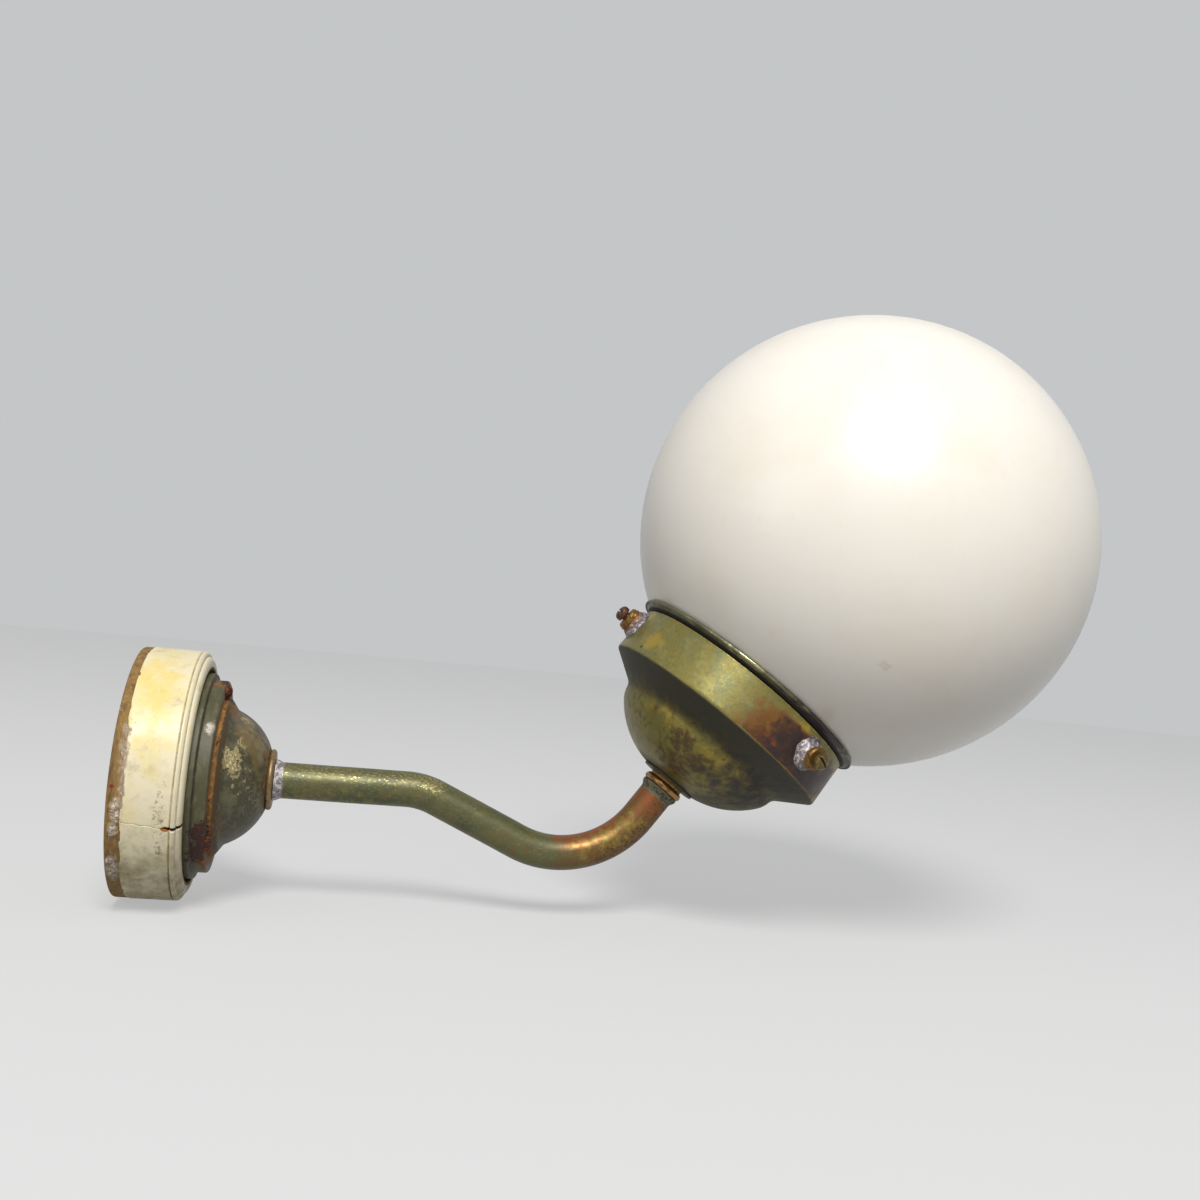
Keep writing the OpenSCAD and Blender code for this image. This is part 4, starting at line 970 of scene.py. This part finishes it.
def make_cup_screws():
    dome = arc(0, 62.55, 3.35, 1.98, 2, 88, 12)
    outline = [(TIP, 50.95), (1.5, 50.95), (2.0, 51.45), (2.0, 60.93), (3.0, 60.93), (3.35, 61.3),
               (3.35, 62.4), *dome, (TIP, 64.53)]
    shape = dented(0.05, 1.6, 90, where=lambda p: (p.along > 61) * (p.radius > 0.3))
    for i, tilt, coppery in ((0, 1.60, 0.75), (1, 1.34, 0.0), (2, 2.9, 0.5)):
        turn = math.radians(SCREW_TURN + 120 * i)
        out = math.cos(turn) * DOWN_CUP + math.sin(turn) * CUP.side
        place = Place(ARM_END + SCREW_ALONG * UP_CUP, out, -UP_CUP)
        screw = turned("cup_screw_%d" % (i + 1), outline, place, SCREW_BRASS, turns=56,
                       shape=shape, step=0.5)
        start = math.cos(tilt) * place.start + math.sin(tilt) * place.side
        cut_away(screw, [slot_tool(5, 1.1, SLOT_FLOOR, 66, Place(place.origin, out, start))])
        # The slot's floor is darker
        height = np.array([(np.array(v.co) / MM - place.origin) @ out for v in screw.data.vertices])
        mark(screw.data, {"deep": np.abs(height - SLOT_FLOOR) < 0.02,
                          "coppery": np.full(len(height), coppery)})
        wear(screw, "screw_%d" % (i + 1), "screw_copper", "gallery_screw_%d" % (i + 1))


# ---- Glass --------------------------------------------------------------------------------

GLOBE_ALONG, GLOBE_R, GLOBE_WALL = 144.116, 100.0, 3.0
NECK_R, NECK_FOOT = 48.6, 44.5


def glass_ring_shape(p):
    p.along += 0.10 * grains(p.points, 30, 95)
    return {"brown": spots(p, (59, 292, 9, 30, 0.95), (59, 345, 9, 40, 0.8)),
            # Bright on the bead: wear and a painted highlight
            "bright": spots(p, (60, 250, 3, 14, 0.9), (60, 225, 3, 14, 0.5)),
            # Painted shadow of the band on the flare
            "shade": ease(p.along, 55.6, 56.6) * (1 - ease(p.along, 58.2, 59.3))}


def globe_shape(p):
    out = (p.points - CUP.origin - GLOBE_ALONG * CUP.axis) / GLOBE_R
    swell = 0.15 * grains(p.points, 60, 97) * ease(p.along, 60, 90)
    p.radius += swell * np.minimum(p.radius / 30, 1)
    # One small mark, low on the side that faces the viewer
    return {"mark": ease(out @ np.array([-0.193, -0.815, -0.547]), 0.9997, 0.99999)}


def make_glass():
    path = walk((50.6, 44.188), 90, (0, 11.6), (1.2, -59.607), (101.2, 3.341), step=0.8)
    end, heading = path[-1]
    bead_at = end + 0.1 * left(heading)
    bead = [bead_at + 0.8 * np.array([math.cos(a), math.sin(a)])
            for a in np.radians(np.linspace(heading - 83, heading + 90, 12)[:-1])]
    outline = [p for p, _ in path] + bead + [p + 0.9 * left(a) for p, a in reversed(path)]
    wear(turned("glass_ring", outline, CUP, GLASS_RING_BRASS, shape=glass_ring_shape, step=0.7),
         "glass", "collar_brass", "glass_collar")

    def meridian(neck, ball, n):
        """The globe's outline from its pole to its neck."""
        return [(ball * math.sin(a), GLOBE_ALONG - ball * math.cos(a))
                for a in np.linspace(math.asin(neck / ball), math.pi - 0.0005, n)][::-1]

    inner_r = NECK_R - GLOBE_WALL
    outline = [*meridian(NECK_R, GLOBE_R, 110), (NECK_R, NECK_FOOT),
               (NECK_R - GLOBE_WALL / 2, 44.19), (inner_r, NECK_FOOT),
               *meridian(inner_r, GLOBE_R - GLOBE_WALL, 60)[::-1]]
    wear(turned("opal_globe", outline, CUP, OPAL_GLASS, turns=300, shape=globe_shape, step=3.0,
                sharp=60), "glass", "opal_glass", "globe")


# ---- Lamp and holder: a thread is rolled into both -------------------------------------------

THREAD_PITCH = 3.6


def threaded(name, outline, material, low, high, depth):
    """A turned piece with a rolled thread between two heights, which moves its wall by depth."""
    def roll(p):
        thick = ease(p.along, low, low + 2) * (1 - ease(p.along, high - 2, high))
        wave = 0.5 - 0.5 * np.cos(2 * math.pi * p.along / THREAD_PITCH - p.angle)
        p.radius += depth * wave * thick * (p.radius > 12)
        return {}
    return turned(name, outline, CUP, material, turns=96, shape=roll, step=0.45)


def make_lamp():
    cap = [(5.5, 43.29), (10, 44.89), (13.15, 47.29), (13.15, 68.29), (12.75, 68.29),
           (12.75, 47.5), (10, 45.3), (5.5, 43.69)]
    wear(threaded("lamp_screw_cap", cap, LAMP_ALUMINIUM, 46.5, 64, -0.55),
         "bulb", "lamp_aluminium", "lamp_cap")
    shell = [(13.5, 40.79), (14.0, 40.79), (14.0, 62.79), (13.5, 62.79)]
    wear(threaded("holder_screw_shell", shell, INNER_BRASS, 41, 62, 0.45),
         "lamp", "inner_brass", "holder_shell")


def wire(name, line, radius, sides, material):
    """A closed tube along a line of points."""
    ahead = np.gradient(line, axis=0)
    ahead /= np.linalg.norm(ahead, axis=1)[:, None]
    up = [np.cross(ahead[0], (0.3, 0.9, 0.2))]
    for a in ahead:
        across = up[-1] - a * (up[-1] @ a)
        up.append(across / np.linalg.norm(across))
    up = np.array(up[1:])
    points = tube_points(line, up, np.cross(ahead, up), sides, radius)
    faces = grid_faces(len(line), sides, False) + caps(len(line), sides)
    return as_object(name, points, faces, material)


def make_filament():
    stem = [(TIP, 61.5), (11.0, 61.5), (11.2, 62.1), (7.5, 64.5), (5.2, 69), (4.2, 76), (4.0, 84),
            (3.4, 88), (1.6, 91), (1.3, 101), (2.3, 102.6), (2.3, 104), (1.2, 105.2), (TIP, 105.4)]
    wear(turned("lamp_stem", stem, CUP, CLEAR_GLASS, turns=48, step=2.5), "bulb", "clear_glass")

    def spread(turn, radius, along):
        return CUP.points(*(np.array(v, float) for v in (along, radius)), np.radians(turn))

    ends = (-128, 128)
    for k, turn in enumerate(ends):
        lead = spread([turn] * 5, [2.6, 3.9, 6.5, 9.8, 12.2], [86, 90, 97, 105, 111])
        wear(wire("lamp_lead_%d" % (k + 1), lead, 0.35, 8, PLATED_STEEL), "bulb", "plated_steel")
    for k, turn in enumerate((-45, 0, 45)):
        prop = spread([turn] * 4, [2.0, 5.5, 9.5, 12.0], [103.4, 105.5, 109.0, 110.6])
        wear(wire("lamp_support_%d" % (k + 1), prop, 0.2, 6, PLATED_STEEL), "bulb", "plated_steel")
    windings, stops = 52, 620
    wind = np.linspace(0, windings * 2 * math.pi, stops)
    coil = spread(np.linspace(*ends, stops), 12.2 + 0.5 * np.cos(wind), 111 + 0.5 * np.sin(wind))
    wear(wire("lamp_filament", coil, 0.14, 5, TUNGSTEN), "bulb", "plated_steel")


KEPT_NODES = {
    INNER_BRASS: ("arm_back_washer", "arm_back_nut", "terminal_inserts", "gallery_nipple",
                  "gallery_locknut", "holder_cap", "holder_terminals", "centre_contact"),
    PORCELAIN: ("terminal_block", "holder_body"), PLATED_STEEL: ("terminal_screws",),
    WIRE_RED: ("wire_live",), WIRE_BLACK: ("wire_neutral",), CEMENT: ("neck_cement",),
    CLEAR_GLASS: ("lamp_glass",), BLACK_GLASS: ("lamp_insulator",), LAMP_SOLDER: ("lamp_contact",)}


def dress_kept_nodes():
    for material, names in KEPT_NODES.items():
        for name in names:
            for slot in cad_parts[name].material_slots:
                slot.material = material


# ---- Stage --------------------------------------------------------------------------------

FLOOR_HEIGHT, FLOOR_R = -0.0512, 4.0
# Each area light's place and watts
LIGHTS = {"key": ((0.05, -1.40, 1.50), 39.5), "fill": ((-1.1, -0.7, 0.5), 2.2)}
LIGHT_SIZE = 0.8


def seen_directly(tree):
    """1 for rays from the camera, a reflection or clear glass."""
    path = add(tree, "ShaderNodeLightPath").outputs
    seen = maths(tree, "MAXIMUM", path["Is Camera Ray"], path["Is Glossy Ray"])
    return maths(tree, "MAXIMUM", seen, path["Is Transmission Ray"])


def make_floor():
    mesh = bpy.data.meshes.new("floor")
    rim = [(FLOOR_R * math.cos(a) + 0.2, FLOOR_R * math.sin(a), FLOOR_HEIGHT)
           for a in np.linspace(0, 2 * math.pi, 65)[:-1]]
    mesh.from_pydata(rim, [], [list(range(64))])
    floor = bpy.data.objects.new("floor", mesh)
    bpy.context.scene.collection.objects.link(floor)
    paper = bpy.data.materials.new("pale_paper")
    paper.use_nodes = True
    tree = paper.node_tree
    shader = tree.nodes["Principled BSDF"]
    shader.inputs["Base Color"].default_value = linear("#969798")
    shader.inputs["Roughness"].default_value = 0.9
    # The camera and reflections see the paper paler than it lights the lamp; its shadow stays
    glow = maths(tree, "MULTIPLY", seen_directly(tree), 0.42)
    shader.inputs["Emission Color"].default_value = linear("#ffffff")
    tree.links.new(glow, shader.inputs["Emission Strength"])
    mesh.materials.append(paper)


def make_light():
    scene = bpy.context.scene
    scene.view_settings.view_transform = "Standard"
    scene.world = bpy.data.worlds.new("studio")
    scene.world.use_nodes = True
    tree = scene.world.node_tree
    tree.nodes.clear()
    light = add(tree, "ShaderNodeBackground", {"Color": linear("#ffffff"), "Strength": 0.22})
    back = add(tree, "ShaderNodeBackground", {"Color": linear("#c4c6c8"), "Strength": 1.0})
    both = add(tree, "ShaderNodeMixShader",
               {0: seen_directly(tree), 1: light.outputs[0], 2: back.outputs[0]}).outputs[0]
    add(tree, "ShaderNodeOutputWorld", {"Surface": both})
    for name, (place, watts) in LIGHTS.items():
        lamp = bpy.data.lights.new(name, "AREA")
        lamp.shape, lamp.size, lamp.energy = "DISK", LIGHT_SIZE, watts
        lamp.color = (1.0, 0.985, 0.955)
        holder = bpy.data.objects.new(name, lamp)
        turn = (Vector((0.2, 0, 0.06)) - Vector(place)).to_track_quat("-Z", "Y").to_matrix()
        holder.matrix_world = Matrix.Translation(place) @ turn.to_4x4()
        scene.collection.objects.link(holder)


make_camera()
make_floor()
make_light()
make_block()
make_flange()
make_flange_screws()
make_rose()
make_arm()
make_arm_end()
make_cup()
make_bushes()
make_cup_screws()
make_glass()
make_lamp()
make_filament()
dress_kept_nodes()
